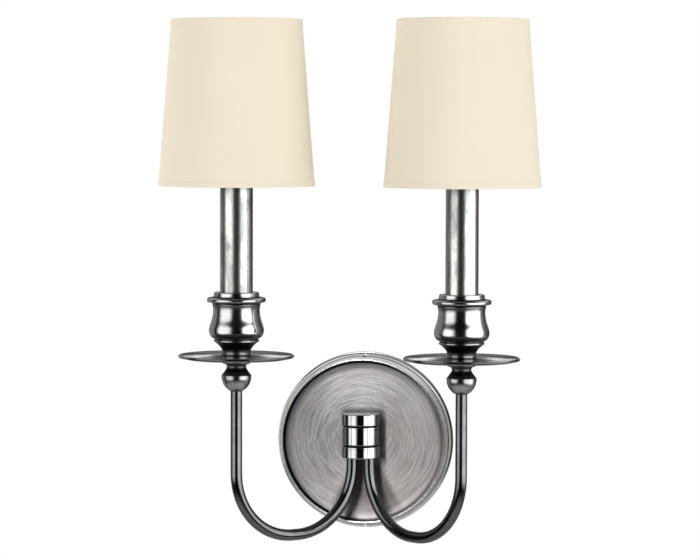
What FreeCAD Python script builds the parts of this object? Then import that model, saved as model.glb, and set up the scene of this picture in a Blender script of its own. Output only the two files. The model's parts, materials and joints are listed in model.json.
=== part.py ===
import FreeCAD, Part
import math
import os

# Double arm wall sconce.  Millimetres.
# Frame: origin on the wall plane at the centre of the round backplate,
# +X to the viewer's right, +Z up, the sconce stands out from the wall to -Y.

V = FreeCAD.Vector

# ------------------------------------------------------------------ sizes
CANDLE_X = 92.4          # candle axis, sideways from the centre line
CANDLE_Y = -109.5        # candle axis, out from the wall
HUB_Y = -33.0            # hub axis, out from the wall
HUB_Z = 6.6              # centre of the hub barrel and of its nipple
HUB_R = 15.875           # hub collars, 1 1/4 in
BARREL_R = 15.25         # hub barrel between the collars
HUB_BOT, BAND1, BAND2, HUB_TOP = -11.9, -2.3, 15.7, 25.1
GROOVE_H = 1.4           # height of the two turned grooves
LEG_X = 7.2              # inner legs of the arms, each side of the hub axis

TUBE_R = 4.7625          # arm tube, 3/8 in
TUBE_BORE = 3.7625
BEND_R = 54.5            # centre line radius of the two bends
ARM_LOW = -73.0          # centre line of the lowest run
ARM_TOP = 62.0           # top end of the arm, inside the knop
LEG_TOP = -3.0           # inner end of the arm, inside the hub

PLATE_R = 74.8           # outer edge of the backplate
SHEET = 1.2              # spun sheet
FACE_D = 13.5            # face, out from the wall, at the centre

SLEEVE_R, SLEEVE_BORE = 13.35, 12.15
SLEEVE_BOT, SLEEVE_TOP = 124.1, 235.0

SHADE_BOT, SHADE_TOP = 217.0, 352.5
SHADE_RB, SHADE_RT, SHADE_T = 64.0, 53.5, 0.9
RING_WIRE = 1.1

NIP_R, NIP_BORE = 4.7, 3.6
LEAD_R = 1.0             # lamp leads
LEAD_OFF = 1.35          # each lead beside the tube's centre line

BULB_R = 15.9
BULB_WIDE_Z = 264.0
CLIP_WIRE = 0.9
CLIP_GAP = 0.4

STRAP_W, STRAP_T, STRAP_Z = 22.0, 1.6, 62.0
SLOT_SPACING, SLOT_LEN, SLOT_HW = 79.4, 14.1, 2.3
SET_Y = -6.5             # set screws, out from the wall

nodes = {}


# ------------------------------------------------------------------ helpers
def edges_of(path, closed=True):
    """path: points (a, b), ("arc", mid, end) and ("spl", [points])."""
    out = []
    first = path[0]
    cur = first
    for step in path[1:]:
        if isinstance(step[0], str):
            if step[0] == "arc":
                mid, end = step[1], step[2]
                out.append(("arc", cur, mid, end))
                cur = end
            else:
                pts = [cur] + list(step[1])
                out.append(("spl", pts))
                cur = pts[-1]
        else:
            out.append(("line", cur, step))
            cur = step
    if closed and (abs(cur[0] - first[0]) > 1e-9 or abs(cur[1] - first[1]) > 1e-9):
        out.append(("line", cur, first))
    return out


def turned(path, axis="z"):
    """A solid of revolution.  path is (radius, height)."""
    def p(q):
        return V(q[0], 0, q[1]) if axis == "z" else V(q[0], -q[1], 0)
    edges = []
    for e in edges_of(path):
        if e[0] == "line":
            if (p(e[1]) - p(e[2])).Length > 1e-7:
                edges.append(Part.LineSegment(p(e[1]), p(e[2])).toShape())
        elif e[0] == "arc":
            edges.append(Part.Arc(p(e[1]), p(e[2]), p(e[3])).toShape())
        else:
            c = Part.BSplineCurve()
            c.interpolate([p(q) for q in e[1]])
            edges.append(c.toShape())
    face = Part.Face(Part.Wire(edges))
    ax = V(0, 0, 1) if axis == "z" else V(0, 1, 0)
    s = face.revolve(V(0, 0, 0), ax, 360)
    if s.ShapeType != "Solid":
        s = s.Solids[0] if s.Solids else Part.makeSolid(s.Shells[0])
    if s.Volume < 0:
        s.reverse()
    return s


def at(s, x, y, z=0.0):
    s = s.copy()
    s.translate(V(x, y, z))
    return s


def cyl(r, p0, p1):
    d = p1 - p0
    return Part.makeCylinder(r, d.Length, p0, d)


def ring(r_out, r_in, z0, z1):
    return Part.makeCylinder(r_out, z1 - z0, V(0, 0, z0)).cut(
        Part.makeCylinder(r_in, z1 - z0 + 2, V(0, 0, z0 - 1)))


def box(x0, x1, y0, y1, z0, z1):
    return Part.makeBox(x1 - x0, y1 - y0, z1 - z0, V(x0, y0, z0))


def path_wire(pts, radii):
    """Straight runs joined by tangent arcs.  radii: one for each inner point."""
    edges = []
    cur = pts[0]
    length = 0.0
    for i in range(1, len(pts) - 1):
        a, b, c = pts[i - 1], pts[i], pts[i + 1]
        u = (b - a).normalize()
        w = (c - b).normalize()
        turn = u.getAngle(w)
        r = radii[i - 1]
        t = r * math.tan(turn / 2)
        p, q = b - u * t, b + w * t
        bis = (w - u).normalize()
        cen = b + bis * (r / math.cos(turn / 2))
        mid = cen - bis * r
        if (p - cur).Length > 1e-6:
            edges.append(Part.LineSegment(cur, p).toShape())
        edges.append(Part.Arc(p, mid, q).toShape())
        cur = q
    edges.append(Part.LineSegment(cur, pts[-1]).toShape())
    length = sum(e.Length for e in edges)
    return Part.Wire(edges), length


def pipe(pts, radii, r):
    w, length = path_wire(pts, radii)
    d = (pts[1] - pts[0]).normalize()
    c = Part.Wire([Part.makeCircle(r, pts[0], d)])
    s = w.makePipeShell([c], True, True, 2)
    if s.ShapeType != "Solid":
        s = s.Solids[0] if s.Solids else Part.makeSolid(s.Shells[0])
    if s.Volume < 0:
        s.reverse()
    want = math.pi * r * r * length
    if abs(s.Volume - want) > 0.01 * want:
        print("pipe volume", s.Volume, "expected", want)
    return s, length


def fuse(parts):
    s = parts[0]
    if len(parts) > 1:
        s = s.multiFuse(parts[1:])
    try:
        s = s.removeSplitter()
    except Exception:
        pass
    return s.Solids[0] if len(s.Solids) == 1 else s


def hexagon(af, z0, z1, bore):
    r = af / 2 / math.cos(math.pi / 6)
    pts = [V(r * math.cos(math.pi / 3 * k), r * math.sin(math.pi / 3 * k), z0) for k in range(7)]
    s = Part.Face(Part.makePolygon(pts)).extrude(V(0, 0, z1 - z0))
    return s.cut(Part.makeCylinder(bore, z1 - z0 + 2, V(0, 0, z0 - 1)))


def to_minus_y(s):
    """Turn a piece built along +Z so that its +Z points to -Y."""
    s = s.copy()
    s.rotate(V(0, 0, 0), V(1, 0, 0), 90)
    return s


# ------------------------------------------------------------------ backplate
# (radius, distance out from the wall); outer skin, then the inner skin back.
outer = [
    (PLATE_R, 0.0), (PLATE_R, 1.1), ("arc", (PLATE_R - 0.25, 1.6), (PLATE_R - 0.8, 1.9)),
    ("spl", [(73.3, 2.5), (72.4, 4.0), (71.75, 6.0), (71.5, 7.4)]),
    ("arc", (72.05, 8.1), (71.4, 8.8)),
    ("spl", [(70.9, 10.2), (70.45, 13.0), (70.2, 15.6), (69.75, 17.1)]),
    ("arc", (68.95, 17.95), (68.15, 17.5)),
    ("spl", [(67.3, 16.5), (65.6, 15.3), (63.0, 14.65), (59.0, 14.4)]),
    ("spl", [(50.0, 14.2), (40.0, 13.95), (30.0, 13.7), (18.0, FACE_D)]),
    (0.0, FACE_D)]
inner = [
    (0.0, FACE_D - SHEET), (18.0, FACE_D - SHEET),
    ("spl", [(30.0, 12.5), (40.0, 12.75), (50.0, 13.0), (59.0, 13.2)]),
    ("spl", [(63.0, 13.4), (65.8, 14.0), (67.6, 15.1), (68.3, 15.8)]),
    ("arc", (68.75, 16.1), (69.0, 15.2)),
    ("spl", [(69.25, 13.0), (69.7, 10.2), (70.2, 8.5), (70.3, 7.2), (70.6, 5.4),
             (71.3, 3.0), (71.9, 1.6), (72.0, 0.0)])]
plate = turned(outer + inner, axis="y")
plate = plate.cut(cyl(NIP_R, V(0, -30, HUB_Z), V(0, 0, HUB_Z)))
for sgn in (1, -1):
    plate = plate.cut(cyl(2.3, V(0, SET_Y, sgn * 60), V(0, SET_Y, sgn * 80)))
nodes["backplate"] = plate.Solids[0]

# ------------------------------------------------------------------ wall strap
strap = box(-STRAP_W / 2, STRAP_W / 2, -STRAP_T, 0, -STRAP_Z, STRAP_Z)
for sgn in (1, -1):
    z0, z1 = sorted((sgn * (STRAP_Z - STRAP_T), sgn * STRAP_Z))
    strap = strap.fuse(box(-STRAP_W / 2 + 3, STRAP_W / 2 - 3, -11.0, 0, z0, z1))
strap = strap.removeSplitter()
for sgn in (1, -1):
    zc = sgn * SLOT_SPACING / 2
    half = SLOT_LEN / 2 - SLOT_HW
    strap = strap.cut(box(-SLOT_HW, SLOT_HW, -3, 1, zc - half, zc + half))
    for e in (-half, half):
        strap = strap.cut(cyl(SLOT_HW, V(0, -3, zc + e), V(0, 1, zc + e)))
    strap = strap.cut(cyl(1.9, V(0, SET_Y, sgn * 50), V(0, SET_Y, sgn * 70)))
strap = strap.cut(cyl(5.5, V(0, -3, 0), V(0, 1, 0)))
strap = strap.cut(cyl(1.9, V(0, -3, -26), V(0, 1, -26)))
nodes["wall_strap"] = strap.Solids[0]

# set screws through the rim of the plate into the strap's two ears
screws = []
for sgn in (1, -1):
    s = cyl(1.9, V(0, SET_Y, sgn * 59.4), V(0, SET_Y, sgn * 73.2))
    s = s.cut(box(-2.5, 2.5, SET_Y - 0.35, SET_Y + 0.35, min(sgn * 72.4, sgn * 74), max(sgn * 72.4, sgn * 74)))
    screws.append(s.Solids[0])
nodes["plate_set_screws"] = Part.makeCompound(screws)

# ground screw and its lead to the hub nipple
gs = fuse([cyl(1.9, V(0, 0, -26), V(0, -2.4, -26)), cyl(4.0, V(0, -2.4, -26), V(0, -4.6, -26))])
gs = gs.cut(box(-5, 5, -5, -3.9, -26.4, -25.6))
nodes["ground_screw"] = gs.Solids[0]
eye_a = to_minus_y(ring(5.2, 1.95, STRAP_T, STRAP_T + 0.7))
eye_a = at(eye_a, 0, 0, -26)
eye_b = at(to_minus_y(ring(9.4, NIP_R, 11.7, 12.3)), 0, 0, HUB_Z)
gl, ground_len = pipe([V(0, -12.0, -1.3), V(0, -11.4, -8.0), V(0, -3.4, -15.0), V(0, -2.35, -21.5)],
                      [6.0, 6.0], 0.8)
gl = gl.cut(cyl(NIP_R, V(0, -14, HUB_Z), V(0, -9, HUB_Z)))
gl = gl.cut(box(-3, 3, -1.6, 0, -30, -10))
gl = gl.cut(box(-9, 9, -14, -12.3, -9, 15))
nodes["ground_lead"] = fuse([gl, eye_a, eye_b])

# ------------------------------------------------------------------ hub
nip = to_minus_y(ring(NIP_R, NIP_BORE, 8.2, 21.6))
nodes["hub_nipple"] = at(nip, 0, 0, HUB_Z)
nodes["nipple_nut"] = at(to_minus_y(hexagon(14.0, 9.1, 11.7, NIP_R)), 0, 0, HUB_Z)

neck = to_minus_y(turned([(NIP_R, FACE_D), (8.6, FACE_D), ("arc", (8.9, 14.2), (8.4, 14.9)),
                          (7.9, 15.2), (7.9, 22.0), (NIP_R, 22.0)]))
neck = at(neck, 0, 0, HUB_Z)

g = GROOVE_H
barrel = turned([(12.0, BAND1), (14.4, BAND1), (14.4, BAND1 + g - 0.2), (14.9, BAND1 + g),
                 ("spl", [(BARREL_R, BAND1 + g + 1.2), (BARREL_R, (BAND1 + BAND2) / 2), (BARREL_R, BAND2 - g - 1.2), (14.9, BAND2 - g)]),
                 (14.4, BAND2 - g + 0.2), (14.4, BAND2), (12.0, BAND2)])
barrel = at(barrel, 0, HUB_Y)
neck = neck.cut(Part.makeCylinder(14.5, 60, V(0, HUB_Y, -30))).cut(barrel)
nodes["hub_neck"] = max(neck.Solids, key=lambda q: q.Volume)
barrel = barrel.cut(cyl(NIP_R, V(0, HUB_Y, HUB_Z), V(0, 0, HUB_Z)))
# small flat land where the neck seats, so the curved faces meet cleanly
nodes["hub_barrel"] = barrel.Solids[0]

R = HUB_R
cap = turned([(0, 22.6), (12.0, 22.6), (12.0, BAND2), (R - 0.5, BAND2), ("arc", (R - 0.15, BAND2 + 0.15), (R, BAND2 + 0.5)),
              ("spl", [(R - 0.1, (BAND2 + HUB_TOP) / 2), (R, HUB_TOP - 0.8)]),
              ("arc", (R - 0.25, HUB_TOP - 0.25), (R - 0.8, HUB_TOP)), (0, HUB_TOP)])
nodes["hub_top_cap"] = at(cap, 0, HUB_Y)

low = turned([(0, HUB_BOT), (R - 0.8, HUB_BOT), ("arc", (R - 0.25, HUB_BOT + 0.25), (R, HUB_BOT + 0.8)),
              ("spl", [(R - 0.1, (HUB_BOT + BAND1) / 2), (R, BAND1 - 0.5)]),
              ("arc", (R - 0.15, BAND1 - 0.15), (R - 0.5, BAND1)),
              (12.0, BAND1), (12.0, -5.0), (0, -5.0)])
low = at(low, 0, HUB_Y)
for sgn in (1, -1):
    low = low.cut(cyl(TUBE_R, V(sgn * LEG_X, HUB_Y, -20), V(sgn * LEG_X, HUB_Y, 0)))
nodes["hub_lower_collar"] = low.Solids[0]

# ------------------------------------------------------------------ one candle, built on its own axis
def cup_solid():
    out = [
        (NIP_R, 78.9), (11.3, 78.9), ("arc", (11.85, 79.3), (11.7, 80.3)),
        ("spl", [(11.7, 82.0), (12.1, 83.6), (12.95, 85.2), (14.3, 86.8), (15.9, 88.3), (17.3, 89.5)]),
        ("arc", (18.5, 90.5), (17.9, 91.7)), (17.75, 92.2),
        ("spl", [(18.9, 92.75), (20.7, 94.1), (21.9, 96.1), (22.45, 99.1), (22.15, 101.8),
                 (21.4, 104.4), (20.5, 107.0), (19.5, 111.0), (19.0, 115.2), (19.15, 118.0), (19.75, 120.4)]),
        (19.75, 121.0), (18.9, 121.4), (20.2, 122.0), (22.1, 122.0),
        ("arc", (24.15, 124.05), (22.1, 126.1)), (18.5, 126.3), (18.95, 126.9),
        ("spl", [(18.6, 128.2), (18.35, 129.8)]), ("arc", (18.1, 130.25), (17.6, 130.4)),
        (14.3, 130.4), (13.75, 129.9), (13.75, 124.0), (11.5, 124.0), (11.5, 121.8),
        (15.0, 116.5), (15.2, 108.0), (14.0, 102.0), (10.4, 97.2), (10.4, 96.0), (NIP_R, 96.0)]
    return turned(out)


def pan_solid():
    return turned([
        (NIP_R, 76.9), (12.4, 76.9),
        ("spl", [(18.0, 76.3), (27.0, 75.85), (36.0, 75.7), (40.6, 75.7)]),
        ("arc", (42.0, 76.0), (42.6, 76.6)), (43.0, 76.8), (46.2, 76.8),
        ("arc", (47.2, 77.25), (47.35, 78.1)), ("arc", (47.15, 78.95), (46.3, 79.3)), (45.8, 79.25),
        ("spl", [(44.4, 78.6), (41.0, 78.0), (34.0, 77.75), (26.0, 78.0), (18.0, 78.55), (14.0, 78.9)]),
        (NIP_R, 78.9)])


def knop_solid():
    zc, rs, rz = 61.3, 12.2, 12.9
    def sp(z):
        return (rs * math.sqrt(1 - ((zc - z) / rz) ** 2), z)
    s = turned([
        (NIP_R, 76.9), (9.4, 76.9), (9.4, 74.4), (11.2, 74.1), ("arc", (11.8, 73.0), (11.0, 72.0)),
        (9.6, 71.7), ("spl", [(8.5, 70.9), (8.0, 69.9), (7.95, 69.0), (8.4, 67.8), (9.3, 66.3),
                              (10.4, 64.8), (11.4, 63.5)]),
        (11.9, 62.9), ("arc", (12.2, 62.5), (12.25, 61.9)), (rs, zc),
        ("spl", [sp(59.0), sp(56.5), sp(54.0), sp(51.8), sp(49.9)]),
        (TUBE_R, 49.2), (TUBE_R, ARM_TOP), (NIP_R, ARM_TOP)])
    return s


def bulb_r(z):
    rc = 96.9
    return BULB_R - rc + math.sqrt(rc * rc - (z - BULB_WIDE_Z) ** 2)


def side(name, sgn):
    cx, cy = sgn * CANDLE_X, CANDLE_Y
    n = {}

    # the arm: leg in the hub, U bend, riser to the knop
    hub = V(sgn * LEG_X, HUB_Y, 0)
    top = V(cx, cy, 0)
    along = (top - hub).normalize()
    nrm = V(-along.y * sgn, along.x * sgn, 0)      # horizontal, square to the arm's plane
    z = V(0, 0, 1)
    pts = [hub + z * LEG_TOP, hub + z * ARM_LOW, top + z * ARM_LOW, top + z * ARM_TOP]
    body, arm_len = pipe(pts, [BEND_R, BEND_R], TUBE_R)
    bore, _ = pipe([pts[0] + z * 1, pts[1], pts[2], pts[3] + z * 1], [BEND_R, BEND_R], TUBE_BORE)
    n["arm"] = body.cut(bore).Solids[0]
    print(name, "arm centre line", round(arm_len, 1))

    n["ball_knop"] = at(knop_solid(), cx, cy)
    n["drip_pan"] = at(pan_solid(), cx, cy)
    n["candle_cup"] = at(cup_solid(), cx, cy)
    n["candle_nipple"] = at(ring(NIP_R, NIP_BORE, ARM_TOP, 105.5), cx, cy)
    n["cup_nut"] = at(hexagon(14.0, 96.0, 99.8, NIP_R), cx, cy)

    # socket bracket: foot ring on the nipple, strip, top tab under the socket
    foot = ring(8.6, NIP_R, 99.8, 101.0)
    strip = box(8.0, 9.0, -4.0, 4.0, 99.8, 198.0).cut(box(7, 7.9, -5, 5, 90, 200))
    link = box(6.0, 9.0, -4.0, 4.0, 99.8, 101.0)
    tab = ring(8.8, 3.4, 196.8, 198.0)
    link2 = box(6.0, 9.0, -4.0, 4.0, 196.8, 198.0)
    br = fuse([foot, strip, link, tab, link2]).cut(Part.makeCylinder(NIP_R, 10, V(0, 0, 95)))
    n["socket_bracket"] = at(br.Solids[0], cx, cy)

    n["socket_body"] = at(turned([(3.2, 198.0), (9.3, 198.0), (9.8, 198.5), (9.8, 233.4), (9.2, 234.0),
                                  (6.65, 234.0), (6.65, 215.6), (4.6, 215.6), (4.6, 202.0), (3.2, 202.0)]), cx, cy)
    n["socket_shell"] = at(ring(6.65, 6.25, 217.0, 233.0), cx, cy)
    ct = fuse([box(-3.0, 4.4, -1.5, 1.5, 214.2, 214.8), box(3.9, 4.4, -1.5, 1.5, 204.0, 214.8)])
    n["socket_contact"] = at(ct.common(Part.makeCylinder(4.5, 20, V(0, 0, 200))).Solids[0], cx, cy)

    n["candle_sleeve"] = at(turned([(SLEEVE_BORE, SLEEVE_BOT), (SLEEVE_R, SLEEVE_BOT), (SLEEVE_R, SLEEVE_TOP - 0.5),
                                    ("arc", (SLEEVE_R - 0.15, SLEEVE_TOP - 0.15), (SLEEVE_R - 0.5, SLEEVE_TOP)),
                                    (10.4, SLEEVE_TOP), (10.4, SLEEVE_TOP - 1.0), (SLEEVE_BORE, SLEEVE_TOP - 1.0)]), cx, cy)

    # lamp: tip contact, screw cap, glass, stem and filament
    n["bulb_contact"] = at(turned([(0, 215.15), ("spl", [(0.8, 215.3), (1.5, 215.7), (1.9, 216.3)]), (1.9, 217.0), (0, 217.0)]), cx, cy)
    cap_p = [(0, 217.1), (2.6, 217.1), (5.3, 219.3)]
    zz = 219.6
    while zz < 231.5:
        cap_p += [(5.55, zz), ("arc", (5.95, zz + 0.85), (5.55, zz + 1.7))]
        zz += 2.54
    cap_p += [(5.55, 233.2), (6.5, 234.4), (6.8, 234.9), (6.8, 236.4), (0, 236.4)]
    n["bulb_cap"] = at(turned(cap_p), cx, cy)
    tipz = 311.8
    go = [(6.4, 236.4), ("spl", [(6.75, 238.5), (8.3, 243.0), (11.2, 249.0), (13.9, 255.5), (15.35, 260.0), (BULB_R, BULB_WIDE_Z)]),
          ("arc", (bulb_r(290.0), 290.0), (bulb_r(tipz), tipz)), ("spl", [(bulb_r(tipz) * 0.78, 312.55), (bulb_r(tipz) * 0.4, 313.0), (0, 313.1)])]
    gi = [(0, 312.2), ("spl", [(1.2, 311.6), (bulb_r(309.0) - 0.8, 309.0), (bulb_r(290.0) - 0.8, 290.0), (BULB_R - 0.8, BULB_WIDE_Z),
                               (14.4, 259.5), (12.9, 255.0), (10.3, 249.0), (7.5, 243.3), (5.9, 238.6), (5.6, 236.4)])]
    n["bulb_glass"] = at(turned(go + gi), cx, cy)
    stem = turned([(0, 236.4), (5.0, 236.4), ("spl", [(4.2, 238.5), (2.3, 243.0), (1.7, 252.0), (1.5, 262.0)]), (0, 263.0)])
    wires = []
    for q in (1, -1):
        w, _ = pipe([V(q * 1.0, 0, 258.0), V(q * 1.6, 0, 266.0), V(q * 5.0, 0, 281.0)], [8.0], 0.35)
        wires.append(w)
    coil, _ = pipe([V(5.0, 0, 281.0), V(3.2, 0, 287.0), V(-3.2, 0, 287.0), V(-5.0, 0, 281.0)], [2.5, 2.5], 0.45)
    n["bulb_filament"] = at(fuse([stem, coil] + wires), cx, cy)

    # shade: hardback cone, wire rings, spider and bulb clip
    slope = (SHADE_RT - SHADE_RB) / (SHADE_TOP - SHADE_BOT)
    n["shade_shell"] = at(turned([(SHADE_RB - SHADE_T, SHADE_BOT), (SHADE_RB, SHADE_BOT), (SHADE_RT, SHADE_TOP),
                                  (SHADE_RT - SHADE_T, SHADE_TOP)]), cx, cy)
    def inner_r(zz):
        return SHADE_RB - SHADE_T + slope * (zz - SHADE_BOT)
    zb, zt = SHADE_BOT + 1.7, SHADE_TOP - 1.7
    n["shade_bottom_ring"] = at(Part.makeTorus(inner_r(zb) - RING_WIRE - 0.02, RING_WIRE, V(0, 0, zb), V(0, 0, 1)), cx, cy)
    rt = inner_r(zt) - RING_WIRE - 0.02
    parts = [Part.makeTorus(rt, RING_WIRE, V(0, 0, zt), V(0, 0, 1)), ring(6.6, 2.5, 314.8, 316.4)]
    for k in range(3):
        a = math.radians(90 + 120 * k)
        d = V(math.cos(a), math.sin(a), 0)
        arm_w, _ = pipe([d * (rt - 0.2) + z * zt, d * 41.0 + z * 347.5, d * 19.0 + z * 318.5, d * 5.0 + z * 315.6],
                        [14.0, 14.0], RING_WIRE)
        parts.append(arm_w)
    sp = fuse(parts).cut(Part.makeCylinder(2.5, 8, V(0, 0, 312)))
    n["shade_spider"] = at(sp.Solids[0], cx, cy)

    rc = 96.9 + CLIP_GAP + CLIP_WIRE
    cr = BULB_R - 96.9
    def leg_r(zq):
        return cr + math.sqrt(rc * rc - (zq - BULB_WIDE_Z) ** 2)
    clip = [ring(5.6, 2.5, 313.75, 314.45)]
    phi = 34.0
    zlow = BULB_WIDE_Z
    for base in (0.0, 180.0):
        for f in (-phi, phi):
            a = math.radians(base + f)
            d = V(math.cos(a), math.sin(a), 0)
            arc = Part.Arc(d * leg_r(zlow) + z * zlow, d * leg_r(290.0) + z * 290.0, d * leg_r(313.9) + z * 313.9).toShape()
            c = Part.Wire([Part.makeCircle(CLIP_WIRE, d * leg_r(zlow) + z * zlow, z)])
            s = Part.Wire([arc]).makePipeShell([c], True, True, 2)
            if s.Volume < 0:
                s.reverse()
            clip.append(s.Solids[0] if s.Solids else s)
            clip.append(Part.makeSphere(CLIP_WIRE, d * leg_r(zlow) + z * zlow))
        bow = Part.makeTorus(leg_r(zlow), CLIP_WIRE, V(0, 0, 0), V(0, 0, 1), -180, 180, 2 * phi)
        bow.rotate(V(0, 0, 0), V(0, 0, 1), base - phi)
        bow.translate(V(0, 0, zlow))
        clip.append(bow)
    cl = fuse(clip).cut(Part.makeCylinder(2.5, 8, V(0, 0, 309)))
    n["bulb_clip"] = at(max(cl.Solids, key=lambda q: q.Volume), cx, cy)
    n["clip_rivet"] = at(turned([(0, 313.5), (2.2, 313.5), (2.2, 316.5), (3.7, 316.5), ("spl", [(3.2, 317.2), (1.9, 317.8), (0, 318.0)])]), cx, cy)

    # two lamp leads, from the socket down the arm, through the hub to the wire nuts
    leads = []
    z_in = HUB_Z + 1.4 if sgn < 0 else HUB_Z - 1.4
    for k in (1, -1):
        off = nrm * (k * LEAD_OFF)
        if off.x * sgn < 0 and k == 1:
            off = off * -1.0
            k_out = 1
        a0 = top + off
        h0 = hub + off
        outer_lead = (h0.x * sgn) > (LEG_X)
        x_in = 1.4 * sgn if outer_lead else -1.4 * sgn
        way = 1.0 if x_in > 0 else -1.0
        pts = [a0 + z * 204.0, a0 + z * ARM_LOW, h0 + z * ARM_LOW, V(h0.x, h0.y, z_in),
               V(x_in, -24.5, z_in), V(x_in, -5.0, z_in), V(way * 24.0, -5.0, z_in)]
        s, ln = pipe(pts, [BEND_R, BEND_R, 4.0, 6.0, 4.0], LEAD_R)
        leads.append(s)
        print(name, "lead", round(ln, 1), "from", round(h0.x, 2), round(h0.y, 2), "to", x_in)
    n["lamp_leads"] = Part.makeCompound(leads)
    for key, s in n.items():
        nodes[name + "_" + key] = s


side("left", -1)
side("right", 1)

# wire nuts behind the plate
nuts = []
for sgn in (1, -1):
    s = turned([(3.0, 0), (4.4, 0), (4.6, 1.0), (4.3, 6.0), (3.9, 18.0), ("spl", [(3.5, 19.8), (2.3, 21.2), (0, 21.6)]), (0, 12.0), (3.0, 12.0)])
    s.rotate(V(0, 0, 0), V(0, 1, 0), 90 * sgn)
    s.translate(V(sgn * 15.0, -5.0, HUB_Z))
    nuts.append(s)
nodes["wire_nuts"] = Part.makeCompound(nuts)

# ------------------------------------------------------------------ write
os.makedirs("parts", exist_ok=True)
for f in os.listdir("parts"):
    if f.endswith(".step"):
        os.remove(os.path.join("parts", f))
total = 0
for name, s in nodes.items():
    bad = [x for x in s.Solids if not x.isValid()]
    if bad or not s.Solids:
        print("CHECK", name, "valid", not bad, "solids", len(s.Solids))
    s.exportStep(os.path.join("parts", name + ".step"))
    total += len(s.Solids)
print(len(nodes), "nodes", total, "solids")
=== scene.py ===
import json
import math
import random

import bmesh
import bpy
import numpy as np
from mathutils import Matrix, Vector

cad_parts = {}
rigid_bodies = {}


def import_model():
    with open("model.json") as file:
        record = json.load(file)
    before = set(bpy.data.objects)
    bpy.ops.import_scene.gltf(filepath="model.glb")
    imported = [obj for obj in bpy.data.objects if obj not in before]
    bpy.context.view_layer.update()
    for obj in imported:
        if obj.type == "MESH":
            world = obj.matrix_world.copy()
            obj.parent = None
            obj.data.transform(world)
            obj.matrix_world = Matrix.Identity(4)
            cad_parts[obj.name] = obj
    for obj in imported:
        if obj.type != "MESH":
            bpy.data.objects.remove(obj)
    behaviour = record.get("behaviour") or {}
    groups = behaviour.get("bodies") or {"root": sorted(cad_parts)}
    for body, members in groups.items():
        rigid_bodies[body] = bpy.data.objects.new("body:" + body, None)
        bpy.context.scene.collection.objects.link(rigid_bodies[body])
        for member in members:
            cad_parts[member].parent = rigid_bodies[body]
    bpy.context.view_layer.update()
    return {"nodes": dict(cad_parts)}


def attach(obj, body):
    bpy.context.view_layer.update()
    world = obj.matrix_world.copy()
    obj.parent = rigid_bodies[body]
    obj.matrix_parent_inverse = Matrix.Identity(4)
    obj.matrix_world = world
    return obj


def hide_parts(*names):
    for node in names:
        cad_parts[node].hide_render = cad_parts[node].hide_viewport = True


# Double arm wall sconce.  Metres, in the row frame: +X to the viewer's right, +Z up,
# the wall at Y = 0, the sconce out from it to -Y.  Profiles are written in millimetres.

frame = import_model()
scene = bpy.context.scene
MM = 0.001
random.seed(7)

# ------------------------------------------------------------------ sizes, in mm
CANDLE_X, CANDLE_Y = 92.4, -109.5
HUB_Y, HUB_Z = -33.0, 6.6
HUB_R, BARREL_R = 15.875, 15.25
HUB_BOT, BAND1, BAND2, HUB_TOP = -11.9, -2.3, 15.7, 25.1
GROOVE_H = 1.4
LEG_X = 7.2
TUBE_R, TUBE_BORE, BEND_R = 4.7625, 3.7625, 54.5
ARM_LOW, ARM_TOP, LEG_TOP = -73.0, 62.0, -3.0
PLATE_R, SHEET, FACE_D = 74.8, 1.2, 13.5
SLEEVE_R, SLEEVE_BORE, SLEEVE_BOT, SLEEVE_TOP = 13.35, 12.15, 124.1, 235.0
SHADE_BOT, SHADE_TOP, SHADE_RB, SHADE_RT, SHADE_T = 217.0, 352.5, 64.0, 53.5, 0.9
NIP_R = 4.7
BULB_R, BULB_WIDE_Z = 15.9, 264.0
SET_Y = -6.5


# ------------------------------------------------------------------ camera
def make_camera():
    pos = Vector((0.34515, -2.64152, 0.279117))
    yaw, pitch, roll = math.radians(7.738), math.radians(-3.090), math.radians(0.149)
    fwd = Vector((-math.sin(yaw) * math.cos(pitch), math.cos(yaw) * math.cos(pitch), math.sin(pitch)))
    right = Vector((math.cos(yaw), math.sin(yaw), 0.0))
    up = right.cross(fwd)
    r = right * math.cos(roll) + up * math.sin(roll)
    u = up * math.cos(roll) - right * math.sin(roll)
    cam = bpy.data.cameras.new("camera")
    ob = bpy.data.objects.new("camera", cam)
    scene.collection.objects.link(ob)
    m = Matrix.Identity(4)
    for k in range(3):
        m[k][0], m[k][1], m[k][2], m[k][3] = r[k], u[k], -fwd[k], pos[k]
    ob.matrix_world = m
    cam.sensor_fit = "HORIZONTAL"
    cam.sensor_width = 36.0
    cam.lens = 3150.914 * 36.0 / 700.0
    cam.clip_start, cam.clip_end = 0.05, 60.0
    scene.camera = ob


make_camera()


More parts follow.
